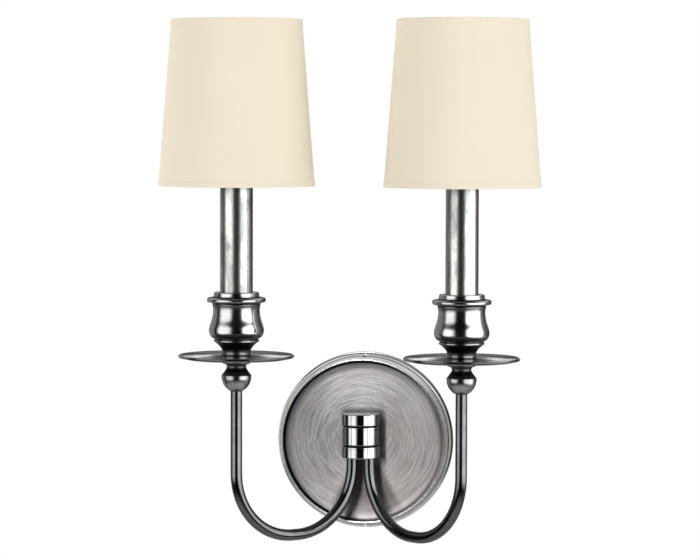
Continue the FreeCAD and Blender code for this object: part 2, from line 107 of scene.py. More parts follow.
# ------------------------------------------------------------------ profiles
def cubic(pts, step):
    """Points along a smooth curve through pts, about step apart."""
    p = np.array(pts, float)
    n = len(p)
    if n == 2:
        k = max(1, int(math.ceil(np.linalg.norm(p[1] - p[0]) / step)))
        return [tuple(p[0] + (p[1] - p[0]) * i / k) for i in range(1, k + 1)]
    t = np.concatenate([[0.0], np.cumsum(np.linalg.norm(np.diff(p, axis=0), axis=1))])

    def end_slope(a, b, c, pa, pb, pc):
        return (pa * ((a - b) + (a - c)) / ((a - b) * (a - c)) + pb * (a - c) / ((b - a) * (b - c))
                + pc * (a - b) / ((c - a) * (c - b)))

    h = np.diff(t)
    A = np.zeros((n, n))
    B = np.zeros((n, 2))
    A[0, 0] = A[-1, -1] = 1.0
    B[0] = end_slope(t[0], t[1], t[2], p[0], p[1], p[2])
    B[-1] = end_slope(t[-1], t[-2], t[-3], p[-1], p[-2], p[-3])
    for i in range(1, n - 1):
        A[i, i - 1] = 1 / h[i - 1]
        A[i, i] = 2 * (1 / h[i - 1] + 1 / h[i])
        A[i, i + 1] = 1 / h[i]
        B[i] = 3 * ((p[i] - p[i - 1]) / h[i - 1] ** 2 + (p[i + 1] - p[i]) / h[i] ** 2)
    m = np.linalg.solve(A, B)
    out = []
    for i in range(n - 1):
        k = max(2, int(math.ceil(h[i] / step)))
        for j in range(1, k + 1):
            s = j / k
            h00, h10 = 2 * s ** 3 - 3 * s ** 2 + 1, s ** 3 - 2 * s ** 2 + s
            h01, h11 = -2 * s ** 3 + 3 * s ** 2, s ** 3 - s ** 2
            out.append(tuple(h00 * p[i] + h10 * h[i] * m[i] + h01 * p[i + 1] + h11 * h[i] * m[i + 1]))
    return out


def arc_points(a, m, b, step):
    """Points on the circle through a, m, b, after a."""
    (ax, ay), (mx, my), (bx, by) = a, m, b
    d = 2 * (ax * (my - by) + mx * (by - ay) + bx * (ay - my))
    if abs(d) < 1e-9:
        return [m, b]
    ux = ((ax * ax + ay * ay) * (my - by) + (mx * mx + my * my) * (by - ay) + (bx * bx + by * by) * (ay - my)) / d
    uy = ((ax * ax + ay * ay) * (bx - mx) + (mx * mx + my * my) * (ax - bx) + (bx * bx + by * by) * (mx - ax)) / d
    r = math.hypot(ax - ux, ay - uy)
    t0, tm, t1 = (math.atan2(q[1] - uy, q[0] - ux) for q in (a, m, b))
    ccw = ((tm - t0) % (2 * math.pi)) < ((t1 - t0) % (2 * math.pi))
    span = (t1 - t0) % (2 * math.pi) if ccw else -((t0 - t1) % (2 * math.pi))
    k = max(4, int(math.ceil(abs(span) * r / step)))
    return [(ux + r * math.cos(t0 + span * i / k), uy + r * math.sin(t0 + span * i / k)) for i in range(1, k + 1)]


def trace(path, step=0.55, bevel=0.16, closed=True):
    """A profile as a polyline with its corners eased and support points beside them."""
    pts, corner = [tuple(map(float, path[0]))], [True]
    for s in path[1:]:
        if isinstance(s[0], str):
            new = arc_points(pts[-1], s[1], s[2], step * 0.5) if s[0] == "arc" else cubic([pts[-1]] + list(s[1]), step)
            for q in new[:-1]:
                pts.append(tuple(map(float, q)))
                corner.append(False)
            pts.append(tuple(map(float, new[-1])))
            corner.append(True)
        else:
            pts.append(tuple(map(float, s)))
            corner.append(True)
    if closed and math.dist(pts[0], pts[-1]) < 1e-6:
        pts.pop()
        corner.pop()
    n = len(pts)
    out = []
    for i in range(n):
        p = pts[i]
        if not closed and i in (0, n - 1):
            out.append(p)
            continue
        a, b = pts[(i - 1) % n], pts[(i + 1) % n]
        la, lb = math.dist(a, p), math.dist(b, p)
        if la < 1e-7 or lb < 1e-7:
            continue
        ua = ((a[0] - p[0]) / la, (a[1] - p[1]) / la)
        ub = ((b[0] - p[0]) / lb, (b[1] - p[1]) / lb)
        turn = math.pi - math.acos(max(-1.0, min(1.0, ua[0] * ub[0] + ua[1] * ub[1])))
        if corner[i] and turn > math.radians(14) and p[0] > 1e-6:
            c = min(bevel, 0.42 * la, 0.42 * lb)
            q0 = (p[0] + ua[0] * c, p[1] + ua[1] * c)
            q1 = (p[0] + ub[0] * c, p[1] + ub[1] * c)
            for k in range(5):
                s = k / 4
                out.append(tuple((1 - s) ** 2 * q0[j] + 2 * s * (1 - s) * p[j] + s * s * q1[j] for j in (0, 1)))
        else:
            out.append(p)
    full = []
    m = len(out)
    for i in range(m if closed else m - 1):
        a, b = out[i], out[(i + 1) % m]
        full.append(a)
        d = math.dist(a, b)
        if d > 1.4:
            inner = [0.35 / d]
            k = int(d // 6)
            inner += [j / (k + 1) for j in range(1, k + 1)]
            inner.append(1 - 0.35 / d)
            full += [(a[0] + (b[0] - a[0]) * t, a[1] + (b[1] - a[1]) * t) for t in inner]
    if not closed:
        full.append(out[-1])
    return full


def recess(pts, reach=0.9, depth=1.3):
    """How deep each point of a profile lies between its neighbours, 0 to 1."""
    p = np.array(pts)
    env = np.max(p[None, :, 0] - np.abs(p[:, None, 1] - p[None, :, 1]) * reach, axis=1)
    x = np.clip((env - p[:, 0]) / depth, 0, 1)
    return x * x * (3 - 2 * x)


def link(ob):
    scene.collection.objects.link(ob)
    return ob


def lathe(name, path, centre=(0.0, 0.0, 0.0), axis="z", segs=160, step=0.55, bevel=0.16, dark=None,
          relief=None, closed=True):
    """A turned piece: path is (radius, height) in mm about the axis through centre."""
    pts = trace(path, step, bevel, closed)
    # recess values: black patina in grooves together with painted shade, as given by each piece's dark profile
    recess_and_shade = recess(pts) if dark is None else np.array([dark(r, h) for r, h in pts])
    area = sum(pts[i][0] * pts[(i + 1) % len(pts)][1] - pts[(i + 1) % len(pts)][0] * pts[i][1] for i in range(len(pts)))
    if area < 0:
        pts, recess_and_shade = pts[::-1], recess_and_shade[::-1]
    length = [0.0]
    for i in range(1, len(pts)):
        length.append(length[-1] + math.dist(pts[i - 1], pts[i]))
    verts, rings, cavity_and_shade = [], [], []
    for i, (r, h) in enumerate(pts):
        if r < 1e-5:
            rings.append([len(verts)])
            verts.append((0.0, 0.0, h))
            cavity_and_shade.append(float(recess_and_shade[i]))
            continue
        row = []
        for k in range(segs):
            a = 2 * math.pi * k / segs
            rr, hh = r, h
            if relief is not None:
                rr, hh = relief(r, h, a)
            row.append(len(verts))
            verts.append((rr * math.cos(a), rr * math.sin(a), hh))
            cavity_and_shade.append(float(recess_and_shade[i]))
        rings.append(row)
    faces, uvs = [], []
    m = len(pts)
    for i in range(m if closed else m - 1):
        a, b = rings[i], rings[(i + 1) % m]
        va, vb = length[i], length[i + 1] if i + 1 < m else length[i] + math.dist(pts[i], pts[0])
        if len(a) == 1 and len(b) == 1:
            continue
        for k in range(segs):
            k2 = (k + 1) % segs
            u0, u1 = k / segs, (k + 1) / segs
            if len(a) == 1:
                faces.append((a[0], b[k2], b[k]))
                uvs.append(((u0, va), (u1, vb), (u0, vb)))
            elif len(b) == 1:
                faces.append((a[k], a[k2], b[0]))
                uvs.append(((u0, va), (u1, va), (u0, vb)))
            else:
                faces.append((a[k], a[k2], b[k2], b[k]))
                uvs.append(((u0, va), (u1, va), (u1, vb), (u0, vb)))
    co = np.array(verts) * MM
    if axis == "y":      # height runs out from the wall, to -Y
        co = np.stack([co[:, 0], -co[:, 2], co[:, 1]], axis=1)
    co = co + np.array(centre) * MM
    mesh = bpy.data.meshes.new(name)
    mesh.from_pydata([tuple(v) for v in co], [], faces)
    layer = mesh.uv_layers.new(name="UVMap")
    flat = [c for f in uvs for uv in f for c in (uv[0], uv[1] * 0.01)]
    layer.data.foreach_set("uv", flat)
    # stored as the recess attribute: painted shade and groove patina
    att = mesh.attributes.new("recess", "FLOAT", "POINT")
    att.data.foreach_set("value", cavity_and_shade)
    mesh.validate()
    bm = bmesh.new()
    bm.from_mesh(mesh)
    bmesh.ops.recalc_face_normals(bm, faces=bm.faces)
    bm.to_mesh(mesh)
    bm.free()
    for p in mesh.polygons:
        p.use_smooth = True
    return link(bpy.data.objects.new(name, mesh))


def cut(ob, cutters):
    """Bores round holes: each cutter is (start, end, radius) in mm."""
    bm = bmesh.new()
    for a, b, r in cutters:
        a, b = Vector(a) * MM, Vector(b) * MM
        d = b - a
        rot = d.to_track_quat("Z", "Y").to_matrix().to_4x4()
        bmesh.ops.create_cone(bm, cap_ends=True, segments=64, radius1=r * MM, radius2=r * MM, depth=d.length,
                              matrix=Matrix.Translation((a + b) / 2) @ rot)
    me = bpy.data.meshes.new("cutter")
    bm.to_mesh(me)
    bm.free()
    c = link(bpy.data.objects.new("cutter", me))
    mod = ob.modifiers.new("bores", "BOOLEAN")
    mod.operation, mod.object, mod.solver = "DIFFERENCE", c, "EXACT"
    bpy.context.view_layer.update()
    new = bpy.data.meshes.new_from_object(ob.evaluated_get(bpy.context.evaluated_depsgraph_get()))
    ob.modifiers.clear()
    ob.data = new
    bpy.data.objects.remove(c)
    return ob


def sweep(name, pts, r, segs=48, bore=None, cap=True, up=Vector((0, 0, 1)), radius_of=None):
    """A round tube along points in mm.  With a bore, its ends are rings."""
    p = [Vector(q) for q in pts]
    n = len(p)
    tang = []
    for i in range(n):
        a, b = p[max(i - 1, 0)], p[min(i + 1, n - 1)]
        tang.append((b - a).normalized())
    ref = up if abs(tang[0].dot(up)) < 0.9 else Vector((1, 0, 0))
    nrm = (ref - tang[0] * ref.dot(tang[0])).normalized()
    length = [0.0]
    for i in range(1, n):
        length.append(length[-1] + (p[i] - p[i - 1]).length)
    rings, verts = [], []

    def ring(i, rad, nn):
        bb = tang[i].cross(nn)
        row = []
        for k in range(segs):
            a = 2 * math.pi * k / segs
            row.append(len(verts))
            verts.append(p[i] + nn * (rad * math.cos(a)) + bb * (rad * math.sin(a)))
        return row
    frames = []
    for i in range(n):
        if i:
            nrm = (nrm - tang[i] * nrm.dot(tang[i])).normalized()
        frames.append(nrm.copy())
        rings.append(ring(i, radius_of(i / (n - 1), length[i]) if radius_of else r, frames[i]))
    faces, uvs = [], []

    def skin(a, b, va, vb, flip=False):
        for k in range(segs):
            k2 = (k + 1) % segs
            f = (a[k], a[k2], b[k2], b[k])
            uv = ((k / segs, va), ((k + 1) / segs, va), ((k + 1) / segs, vb), (k / segs, vb))
            faces.append(f[::-1] if flip else f)
            uvs.append(uv[::-1] if flip else uv)
    for i in range(n - 1):
        skin(rings[i], rings[i + 1], length[i], length[i + 1])
    if bore:
        inner = [ring(i, bore, frames[i]) for i in range(n)]
        for i in range(n - 1):
            skin(inner[i], inner[i + 1], length[i], length[i + 1], True)
        skin(inner[0], rings[0], 0, 0.5)
        skin(rings[-1], inner[-1], length[-1], length[-1] + 0.5)
    elif cap:
        faces.append(tuple(rings[0][::-1]))
        uvs.append(tuple((0, 0) for _ in range(segs)))
        faces.append(tuple(rings[-1]))
        uvs.append(tuple((0, 0) for _ in range(segs)))
    mesh = bpy.data.meshes.new(name)
    mesh.from_pydata([tuple(v * MM) for v in verts], [], faces)
    layer = mesh.uv_layers.new(name="UVMap")
    layer.data.foreach_set("uv", [c for f in uvs for uv in f for c in (uv[0], uv[1] * 0.01)])
    mesh.validate()
    bm = bmesh.new()
    bm.from_mesh(mesh)
    bmesh.ops.recalc_face_normals(bm, faces=bm.faces)
    bm.to_mesh(mesh)
    bm.free()
    for q in mesh.polygons:
        q.use_smooth = len(q.vertices) == 4
    return link(bpy.data.objects.new(name, mesh))


def tube_path(pts, radii, step=2.0, arc_step=math.radians(2.5)):
    """Straight runs joined by tangent arcs, as points in mm."""
    pts = [Vector(q) for q in pts]
    out = [pts[0]]

    def run(b):
        a = out[-1]
        k = max(1, int((b - a).length / step))
        for i in range(1, k + 1):
            out.append(a + (b - a) * (i / k))
    for i in range(1, len(pts) - 1):
        a, b, c = pts[i - 1], pts[i], pts[i + 1]
        u, w = (b - a).normalized(), (c - b).normalized()
        turn = u.angle(w)
        r = radii[i - 1]
        t = r * math.tan(turn / 2)
        start = b - u * t
        run(start)
        side = (w - u * w.dot(u)).normalized()
        cen = start + side * r
        k = max(3, int(math.ceil(turn / arc_step)))
        for j in range(1, k + 1):
            g = turn * j / k
            out.append(cen - side * (r * math.cos(g)) + u * (r * math.sin(g)))
    run(pts[-1])
    return out


# ------------------------------------------------------------------ materials
class Mat:
    """Small helper to lay out a node tree."""

    def __init__(self, name, kind="ShaderNodeBsdfPrincipled"):
        self.m = bpy.data.materials.new(name)
        self.m.use_nodes = True
        self.t = self.m.node_tree
        self.t.nodes.clear()
        self.out = self.t.nodes.new("ShaderNodeOutputMaterial")
        self.bsdf = self.t.nodes.new(kind)
        self.t.links.new(self.bsdf.outputs[0], self.out.inputs["Surface"])
        self.tc = self.t.nodes.new("ShaderNodeTexCoord")

    def new(self, kind, **props):
        n = self.t.nodes.new(kind)
        for k, v in props.items():
            setattr(n, k, v)
        return n

    def put(self, sock, v):
        if isinstance(v, bpy.types.NodeSocket):
            self.t.links.new(v, sock)
        elif v is not None:
            sock.default_value = v

    def set(self, **kw):
        for k, v in kw.items():
            self.put(self.bsdf.inputs[k.replace("_", " ")], v)

    def obj(self):
        return self.tc.outputs["Object"]

    def uv(self):
        return self.tc.outputs["UV"]

    def scaled(self, vec, s, loc=(0, 0, 0), rot=(0, 0, 0)):
        n = self.new("ShaderNodeMapping")
        self.put(n.inputs["Vector"], vec)
        n.inputs["Scale"].default_value = s if hasattr(s, "__len__") else (s, s, s)
        n.inputs["Location"].default_value = loc
        n.inputs["Rotation"].default_value = rot
        return n.outputs[0]

    def noise(self, vec, scale=1.0, detail=3.0, rough=0.55, dist=0.0, dims="3D"):
        n = self.new("ShaderNodeTexNoise", noise_dimensions=dims)
        self.put(n.inputs["Vector"], vec)
        n.inputs["Scale"].default_value = scale
        n.inputs["Detail"].default_value = detail
        n.inputs["Roughness"].default_value = rough
        n.inputs["Distortion"].default_value = dist
        return n.outputs[0]

    def math(self, op, a, b=None, c=None, clamp=False):
        n = self.new("ShaderNodeMath", operation=op, use_clamp=clamp)
        for i, v in enumerate((a, b, c)):
            if v is not None:
                self.put(n.inputs[i], v)
        return n.outputs[0]

    def ramp(self, v, a, b, lo=0.0, hi=1.0, smooth=True):
        n = self.new("ShaderNodeMapRange", interpolation_type="SMOOTHSTEP" if smooth else "LINEAR")
        n.clamp = True
        self.put(n.inputs["Value"], v)
        n.inputs["From Min"].default_value, n.inputs["From Max"].default_value = a, b
        n.inputs["To Min"].default_value, n.inputs["To Max"].default_value = lo, hi
        return n.outputs[0]

    def mix(self, f, a, b, mode="MIX"):
        n = self.new("ShaderNodeMix", data_type="RGBA", blend_type=mode)
        self.put(n.inputs[0], f)
        self.put(n.inputs[6], a if not isinstance(a, tuple) else (*a, 1.0)[:4])
        self.put(n.inputs[7], b if not isinstance(b, tuple) else (*b, 1.0)[:4])
        return n.outputs[2]

    def xyz(self, vec):
        n = self.new("ShaderNodeSeparateXYZ")
        self.put(n.inputs[0], vec)
        return n.outputs

    def vec(self, x, y, z=0.0):
        n = self.new("ShaderNodeCombineXYZ")
        for i, v in enumerate((x, y, z)):
            self.put(n.inputs[i], v)
        return n.outputs[0]

    def attr(self, name):
        return self.new("ShaderNodeAttribute", attribute_name=name).outputs["Fac"]

    def bump(self, height, dist, strength=1.0, normal=None):
        n = self.new("ShaderNodeBump")
        n.inputs["Strength"].default_value = strength
        n.inputs["Distance"].default_value = dist
        self.put(n.inputs["Height"], height)
        if normal is not None:
            self.put(n.inputs["Normal"], normal)
        return n.outputs[0]

    def tangent(self, axis="Z"):
        return self.new("ShaderNodeTangent", direction_type="RADIAL", axis=axis).outputs[0]

    def polar(self, vec, ax="x", az="y", cx=0.0, cz=0.0):
        """Radius and angle about a line through (cx, cz), in metres."""
        o = self.xyz(vec)
        pick = {"x": 0, "y": 1, "z": 2}
        a = self.math("SUBTRACT", o[pick[ax]], cx)
        b = self.math("SUBTRACT", o[pick[az]], cz)
        r = self.math("SQRT", self.math("ADD", self.math("MULTIPLY", a, a), self.math("MULTIPLY", b, b)))
        return r, self.math("ARCTAN2", b, a)


def pewter(name, light, mid, dark, rough=(0.17, 0.27), aniso=0.55, lines=(28, 28, 5200), axis="Z", line_bump=0.000010,
           tint=(0.50, 0.48, 0.44), use_recess=True, recess_and_shade_col=(0.006, 0.006, 0.007), mott=1.0,
           wave=0.3):
    """Aged turned pewter: fine turning lines, cloudy tone, and a darkening read from the recess attribute, which holds
    black patina in grooves and painted shade under overhangs and inside.
    """
    g = Mat(name)
    p = g.obj()
    cloud = g.noise(p, 55, 4, 0.6, 0.6)
    fine = g.noise(p, 420, 3, 0.6, 0.3)
    streak = g.noise(g.scaled(p, lines), 1.0, 3, 0.6)
    base = g.mix(g.ramp(cloud, 0.38, 0.64), mid, light)
    base = g.mix(g.ramp(fine, 0.35, 0.75, 0.0, 0.35 * mott), base, tint)
    base = g.mix(g.ramp(streak, 0.30, 0.72, 0.0, 0.40), base, dark)
    rv = g.ramp(g.noise(p, 90, 3, 0.6), 0.3, 0.7, rough[0], rough[1])
    if use_recess:
        # the recess attribute carries painted shade as well as black patina in grooves
        recess_and_shade = g.attr("recess")
        wob = g.math("MULTIPLY", recess_and_shade, g.ramp(fine, 0.2, 0.6, 0.9, 1.0))
        base = g.mix(wob, base, recess_and_shade_col)
        rv = g.math("ADD", rv, g.math("MULTIPLY", recess_and_shade, 0.2), clamp=True)
    g.set(Base_Color=base, Roughness=rv, Metallic=1.0, Anisotropic=aniso, Anisotropic_Rotation=0.25)
    if axis:
        g.put(g.bsdf.inputs["Tangent"], g.tangent(axis))
    nb = g.bump(streak, line_bump)
    nb = g.bump(g.noise(p, 120, 2, 0.5), 0.00005, wave, nb)
    g.put(g.bsdf.inputs["Normal"], nb)
    return g.m


def brushed_plate():
    """Spun plate, rubbed in overlapping arcs, with a dark line inside the lip, painted highlight patches, painted
    shadow round the hub and legs and painted shade inside the lip.
    """
    g = Mat("brushed_plate")
    p = g.obj()
    cloud = g.noise(p, 26, 4, 0.62, 0.8)
    r0, a0 = g.polar(p, "x", "z")
    total = None
    for k, (cx, cz, fr, fa, w) in enumerate(((0.0, 0.0, 1700, 1.4, 0.34), (0.005, 0.003, 1300, 2.0, 0.26),
                                            (-0.006, 0.007, 1450, 1.8, 0.22), (0.004, -0.009, 1150, 2.2, 0.10),
                                            (-0.014, -0.009, 1500, 2.4, 0.08))):
        r, a = g.polar(p, "x", "z", cx, cz)
        v = g.vec(g.math("MULTIPLY", r, fr), g.math("MULTIPLY", a, fa), 3.7 * k)
        n = g.math("MULTIPLY", g.noise(v, 1.0, 4, 0.66, 0.05), w)
        total = n if total is None else g.math("ADD", total, n)
    fine = g.noise(g.vec(g.math("MULTIPLY", r0, 5200), g.math("MULTIPLY", a0, 3.0), 0.0), 1.0, 2, 0.6)
    broad = g.noise(g.vec(g.math("MULTIPLY", r0, 260), g.math("MULTIPLY", a0, 0.7), 9.0), 1.0, 3, 0.6)
    tone = g.mix(g.ramp(total, 0.445, 0.56), (0.34, 0.32, 0.318), (0.96, 0.942, 0.926))
    tone = g.mix(g.ramp(broad, 0.47, 0.72, 0.0, 0.5), tone, (0.93, 0.92, 0.90))
    tone = g.mix(g.ramp(cloud, 0.36, 0.66, 0.0, 0.5), tone, (0.52, 0.475, 0.54))
    tone = g.mix(g.ramp(g.noise(p, 40, 3, 0.6, 0.5), 0.45, 0.72, 0.0, 0.5), tone, (0.62, 0.56, 0.48))
    # painted highlight patches at the right, top, bottom and left of the face; painted shadow round the hub
    o = g.xyz(p)
    for px, pz, sx, sz, k in ((0.046, 0.012, 0.020, 0.040, 0.5), (0.0, 0.046, 0.034, 0.018, 0.42), (0.004, -0.055, 0.030, 0.014, 0.35),
                              (-0.050, -0.004, 0.012, 0.026, 0.30)):
        ex = g.math("DIVIDE", g.math("SUBTRACT", o[0], px), sx)
        ez = g.math("DIVIDE", g.math("SUBTRACT", o[2], pz), sz)
        e = g.math("ADD", g.math("MULTIPLY", ex, ex), g.math("MULTIPLY", ez, ez))
        painted_highlight_spot = g.math("MULTIPLY", g.ramp(e, 0.0, 1.0, k, 0.0), g.ramp(total, 0.44, 0.56, 0.35, 1.0))
        tone = g.mix(painted_highlight_spot, tone, (0.98, 0.97, 0.955))
    # painted shadow of the hub on the plate, darkest next to it
    dx = g.math("MAXIMUM", g.math("SUBTRACT", g.math("ABSOLUTE", o[0]), 0.0150), 0.0)
    dz = g.math("MAXIMUM", g.math("SUBTRACT", g.math("ABSOLUTE", g.math("SUBTRACT", o[2], 0.0066)), 0.0175), 0.0)
    off = g.math("SQRT", g.math("ADD", g.math("MULTIPLY", dx, dx), g.math("MULTIPLY", dz, dz)))
    tone = g.mix(g.ramp(off, 0.0, 0.0062, 0.92, 0.0), tone, (0.05, 0.044, 0.062))
    # painted shadow of the legs on the plate, between them and below the hub
    leg = g.math("ADD", 0.0095, g.math("MULTIPLY", g.math("MAXIMUM", g.math("SUBTRACT", -0.018, o[2]), 0.0), 0.52))
    leg_shadow_mask = g.ramp(g.math("SUBTRACT", g.math("ABSOLUTE", g.math("SUBTRACT", o[0], 0.0025)), leg), -0.003, 0.0045, 1.0, 0.0)
    low = g.math("MULTIPLY", g.ramp(o[2], -0.066, -0.044), g.ramp(o[2], -0.014, -0.008, 1.0, 0.0))
    tone = g.mix(g.math("MULTIPLY", g.math("MULTIPLY", leg_shadow_mask, low), 0.90), tone, (0.03, 0.027, 0.036))
    tone = g.mix(g.ramp(fine, 0.35, 0.72, 0.0, 0.34), tone, (0.30, 0.285, 0.30))
    warm = g.ramp(g.math("SUBTRACT", o[0], g.math("MULTIPLY", o[2], 1.2)), -0.02, 0.07)
    tone = g.mix(g.math("MULTIPLY", warm, 0.20), tone, (0.62, 0.53, 0.45))
    tone = g.mix(g.ramp(g.math("ADD", o[0], g.math("MULTIPLY", g.math("ABSOLUTE", o[2]), 0.3)), -0.06, 0.0, 0.14, 0.0), tone, (0.40, 0.36, 0.45))
    tone = g.mix(0.42, tone, (0.02, 0.018, 0.022))
    # black in the lip's inner corner, patina with painted shade added that is stronger on the left, a painted purple
    # shade inside the lip, also stronger on the left, and black in the grooves of the stepped side
    depth = g.math("MULTIPLY", g.xyz(p)[1], -1.0)
    line = g.math("MULTIPLY", g.ramp(r0, 0.0655, 0.0668), g.ramp(r0, 0.0678, 0.0684, 1.0, 0.0))
    line = g.math("MULTIPLY", line, g.ramp(g.math("SUBTRACT", o[0], g.math("MULTIPLY", o[2], 0.35)), -0.005, 0.045, 1.0, 0.22))
    # painted shade: a purple-dark band inside the lip, fading towards the right
    soft = g.math("MULTIPLY", g.ramp(r0, 0.0575, 0.0665), g.ramp(r0, 0.0675, 0.0682, 1.0, 0.0))
    recess_and_shade = g.attr("recess")
    tone = g.mix(g.math("MULTIPLY", soft, g.math("MULTIPLY", g.ramp(cloud, 0.3, 0.7, 0.35, 0.65), g.ramp(o[0], -0.01, 0.04, 1.0, 0.10))), tone, (0.16, 0.145, 0.19))
    tone = g.mix(g.math("MULTIPLY", line, 0.98), tone, (0.005, 0.004, 0.008))
    # a painted highlight line along the lip's crest, where it is also polished
    lo = g.math("SUBTRACT", 0.0683, g.ramp(o[0], -0.005, 0.045, 0.0, 0.0008))
    crest_polish_and_highlight = g.math("MULTIPLY", g.ramp(g.math("SUBTRACT", r0, lo), 0.0, 0.0003), g.ramp(r0, 0.0695, 0.0699, 1.0, 0.0))
    side = g.math("MULTIPLY", g.ramp(r0, 0.0690, 0.0694), g.ramp(depth, 0.0172, 0.0166))
    tone = g.mix(g.math("MULTIPLY", side, g.ramp(cloud, 0.35, 0.65, 0.8, 0.95)), tone, (0.74, 0.73, 0.715))
    tone = g.mix(g.math("MULTIPLY", crest_polish_and_highlight, 0.9), tone, (0.82, 0.81, 0.80))
    tone = g.mix(g.math("MULTIPLY", recess_and_shade, 0.75), tone, (0.05, 0.05, 0.054))
    edge = g.math("MAXIMUM", side, crest_polish_and_highlight)
    face = g.math("SUBTRACT", 1.0, edge)
    rough = g.math("SUBTRACT", g.ramp(total, 0.42, 0.6, 0.46, 0.53), g.math("MULTIPLY", edge, 0.20))
    metal = g.math("SUBTRACT", 1.0, g.math("MULTIPLY", g.math("MULTIPLY", face, g.math("SUBTRACT", 1.0, line)), 0.20))
    g.set(Base_Color=tone, Roughness=rough, Metallic=metal, Anisotropic=0.3,
          Anisotropic_Rotation=0.25)
    g.put(g.bsdf.inputs["Tangent"], g.tangent("Y"))
    flat = g.ramp(r0, 0.0630, 0.0672, 1.0, 0.0)
    nb = g.bump(g.math("MULTIPLY", total, flat), 0.000012, 0.5)
    nb = g.bump(g.math("MULTIPLY", fine, flat), 0.000005, 1.0, nb)
    g.put(g.bsdf.inputs["Normal"], nb)
    return g.m


def sleeve_silver():
    """Candle sleeve: rubbed silver over a darker ground, clouded along its length, with a painted shadow of the shade's
    hem at its top.
    """
    g = Mat("sleeve_silver")
    p = g.obj()
    cloud = g.noise(g.scaled(p, (60, 60, 30)), 1.0, 4, 0.62, 0.7)
    fine = g.noise(g.scaled(p, (900, 900, 240)), 1.0, 3, 0.6)
    lines = g.noise(g.scaled(p, (2600, 2600, 40)), 1.0, 2, 0.6)
    base = g.mix(g.ramp(cloud, 0.36, 0.62), (0.175, 0.187, 0.181), (0.385, 0.395, 0.37))
    base = g.mix(g.ramp(fine, 0.42, 0.72, 0.0, 0.5), base, (0.25, 0.245, 0.22))
    # painted shadow of the shade's hem along the sleeve's top
    top = g.math("ADD", g.ramp(g.xyz(p)[2], 0.2090, 0.2165, 0.0, 0.42), g.ramp(g.xyz(p)[2], 0.2155, 0.2168, 0.0, 0.45))
    base = g.mix(top, base, (0.055, 0.05, 0.045))
    g.set(Base_Color=base, Roughness=g.ramp(cloud, 0.3, 0.7, 0.27, 0.20), Metallic=1.0, Anisotropic=0.3)
    g.put(g.bsdf.inputs["Tangent"], g.tangent("Z"))
    nb = g.bump(lines, 0.000010)
    nb = g.bump(fine, 0.00003, 0.6, nb)
    nb = g.bump(g.noise(p, 70, 2, 0.5), 0.00008, 0.4, nb)
    g.put(g.bsdf.inputs["Normal"], nb)
    return g.m


def fabric(name, warp=(0.865, 0.79, 0.645), weft=(0.805, 0.728, 0.588), pitch=0.00042, cx=0.0):
    """Plain woven cover: threads around and along the shade."""
    g = Mat(name)
    p = g.obj()
    o = g.xyz(p)
    r, a = g.polar(p, "x", "y", cx * MM, CANDLE_Y * MM)
    around = g.math("MULTIPLY", a, 0.0585 / pitch * math.pi)
    along = g.math("MULTIPLY", o[2], math.pi / pitch)
    slub_a = g.noise(g.vec(g.math("MULTIPLY", around, 0.32), g.math("MULTIPLY", along, 0.006), 0.0), 1.0, 2, 0.5)
    slub_b = g.noise(g.vec(g.math("MULTIPLY", around, 0.006), g.math("MULTIPLY", along, 0.32), 4.0), 1.0, 2, 0.5)
    sa, sb = g.math("SINE", around), g.math("SINE", along)
    over = g.math("MULTIPLY", sa, sb)
    wa = g.math("ABSOLUTE", g.math("COSINE", g.math("MULTIPLY", around, 0.5)))
    wb = g.math("ABSOLUTE", g.math("COSINE", g.math("MULTIPLY", along, 0.5)))
    height = g.math("ADD", g.math("MULTIPLY", g.math("ADD", wa, wb), 0.5), g.math("MULTIPLY", over, 0.35))
    height = g.math("ADD", height, g.math("MULTIPLY", g.math("ADD", slub_a, slub_b), 0.5))
    col = g.mix(g.ramp(over, -0.6, 0.6), weft, warp)
    col = g.mix(g.ramp(slub_a, 0.55, 0.75, 0.0, 0.25), col, (0.90, 0.83, 0.71))
    col = g.mix(g.ramp(slub_b, 0.55, 0.75, 0.0, 0.25), col, (0.78, 0.69, 0.55))
    col = g.mix(g.ramp(g.noise(p, 24, 3, 0.5), 0.35, 0.7, 0.0, 0.12), col, (0.89, 0.80, 0.66))
    g.set(Base_Color=col, Roughness=0.82, Sheen_Weight=0.12, Sheen_Roughness=0.5, Specular_IOR_Level=0.2)
    g.put(g.bsdf.inputs["Normal"], g.bump(height, 0.00005, 0.45))
    return g.m


def lining():
    g = Mat("shade_lining")
    p = g.obj()
    n = g.noise(p, 900, 3, 0.6)
    col = g.mix(g.ramp(g.noise(p, 30, 3), 0.3, 0.7), (0.84, 0.81, 0.74), (0.88, 0.86, 0.80))
    g.set(Base_Color=col, Roughness=g.ramp(n, 0.3, 0.7, 0.42, 0.55))
    g.put(g.bsdf.inputs["Normal"], g.bump(n, 0.00002, 0.4))
    return g.m


def plated(name, a, b, rough=(0.25, 0.4), scale=260.0, metallic=1.0, bump=0.00002):
    g = Mat(name)
    p = g.obj()
    n = g.noise(p, scale, 4, 0.6, 0.3)
    big = g.noise(p, scale * 0.2, 3, 0.6)
    col = g.mix(g.ramp(n, 0.35, 0.68), a, b)
    col = g.mix(g.ramp(big, 0.4, 0.7, 0.0, 0.4), col, tuple(x * 0.72 for x in b))
    g.set(Base_Color=col, Roughness=g.ramp(n, 0.3, 0.7, rough[0], rough[1]), Metallic=metallic)
    g.put(g.bsdf.inputs["Normal"], g.bump(n, bump, 0.6))
    return g.m


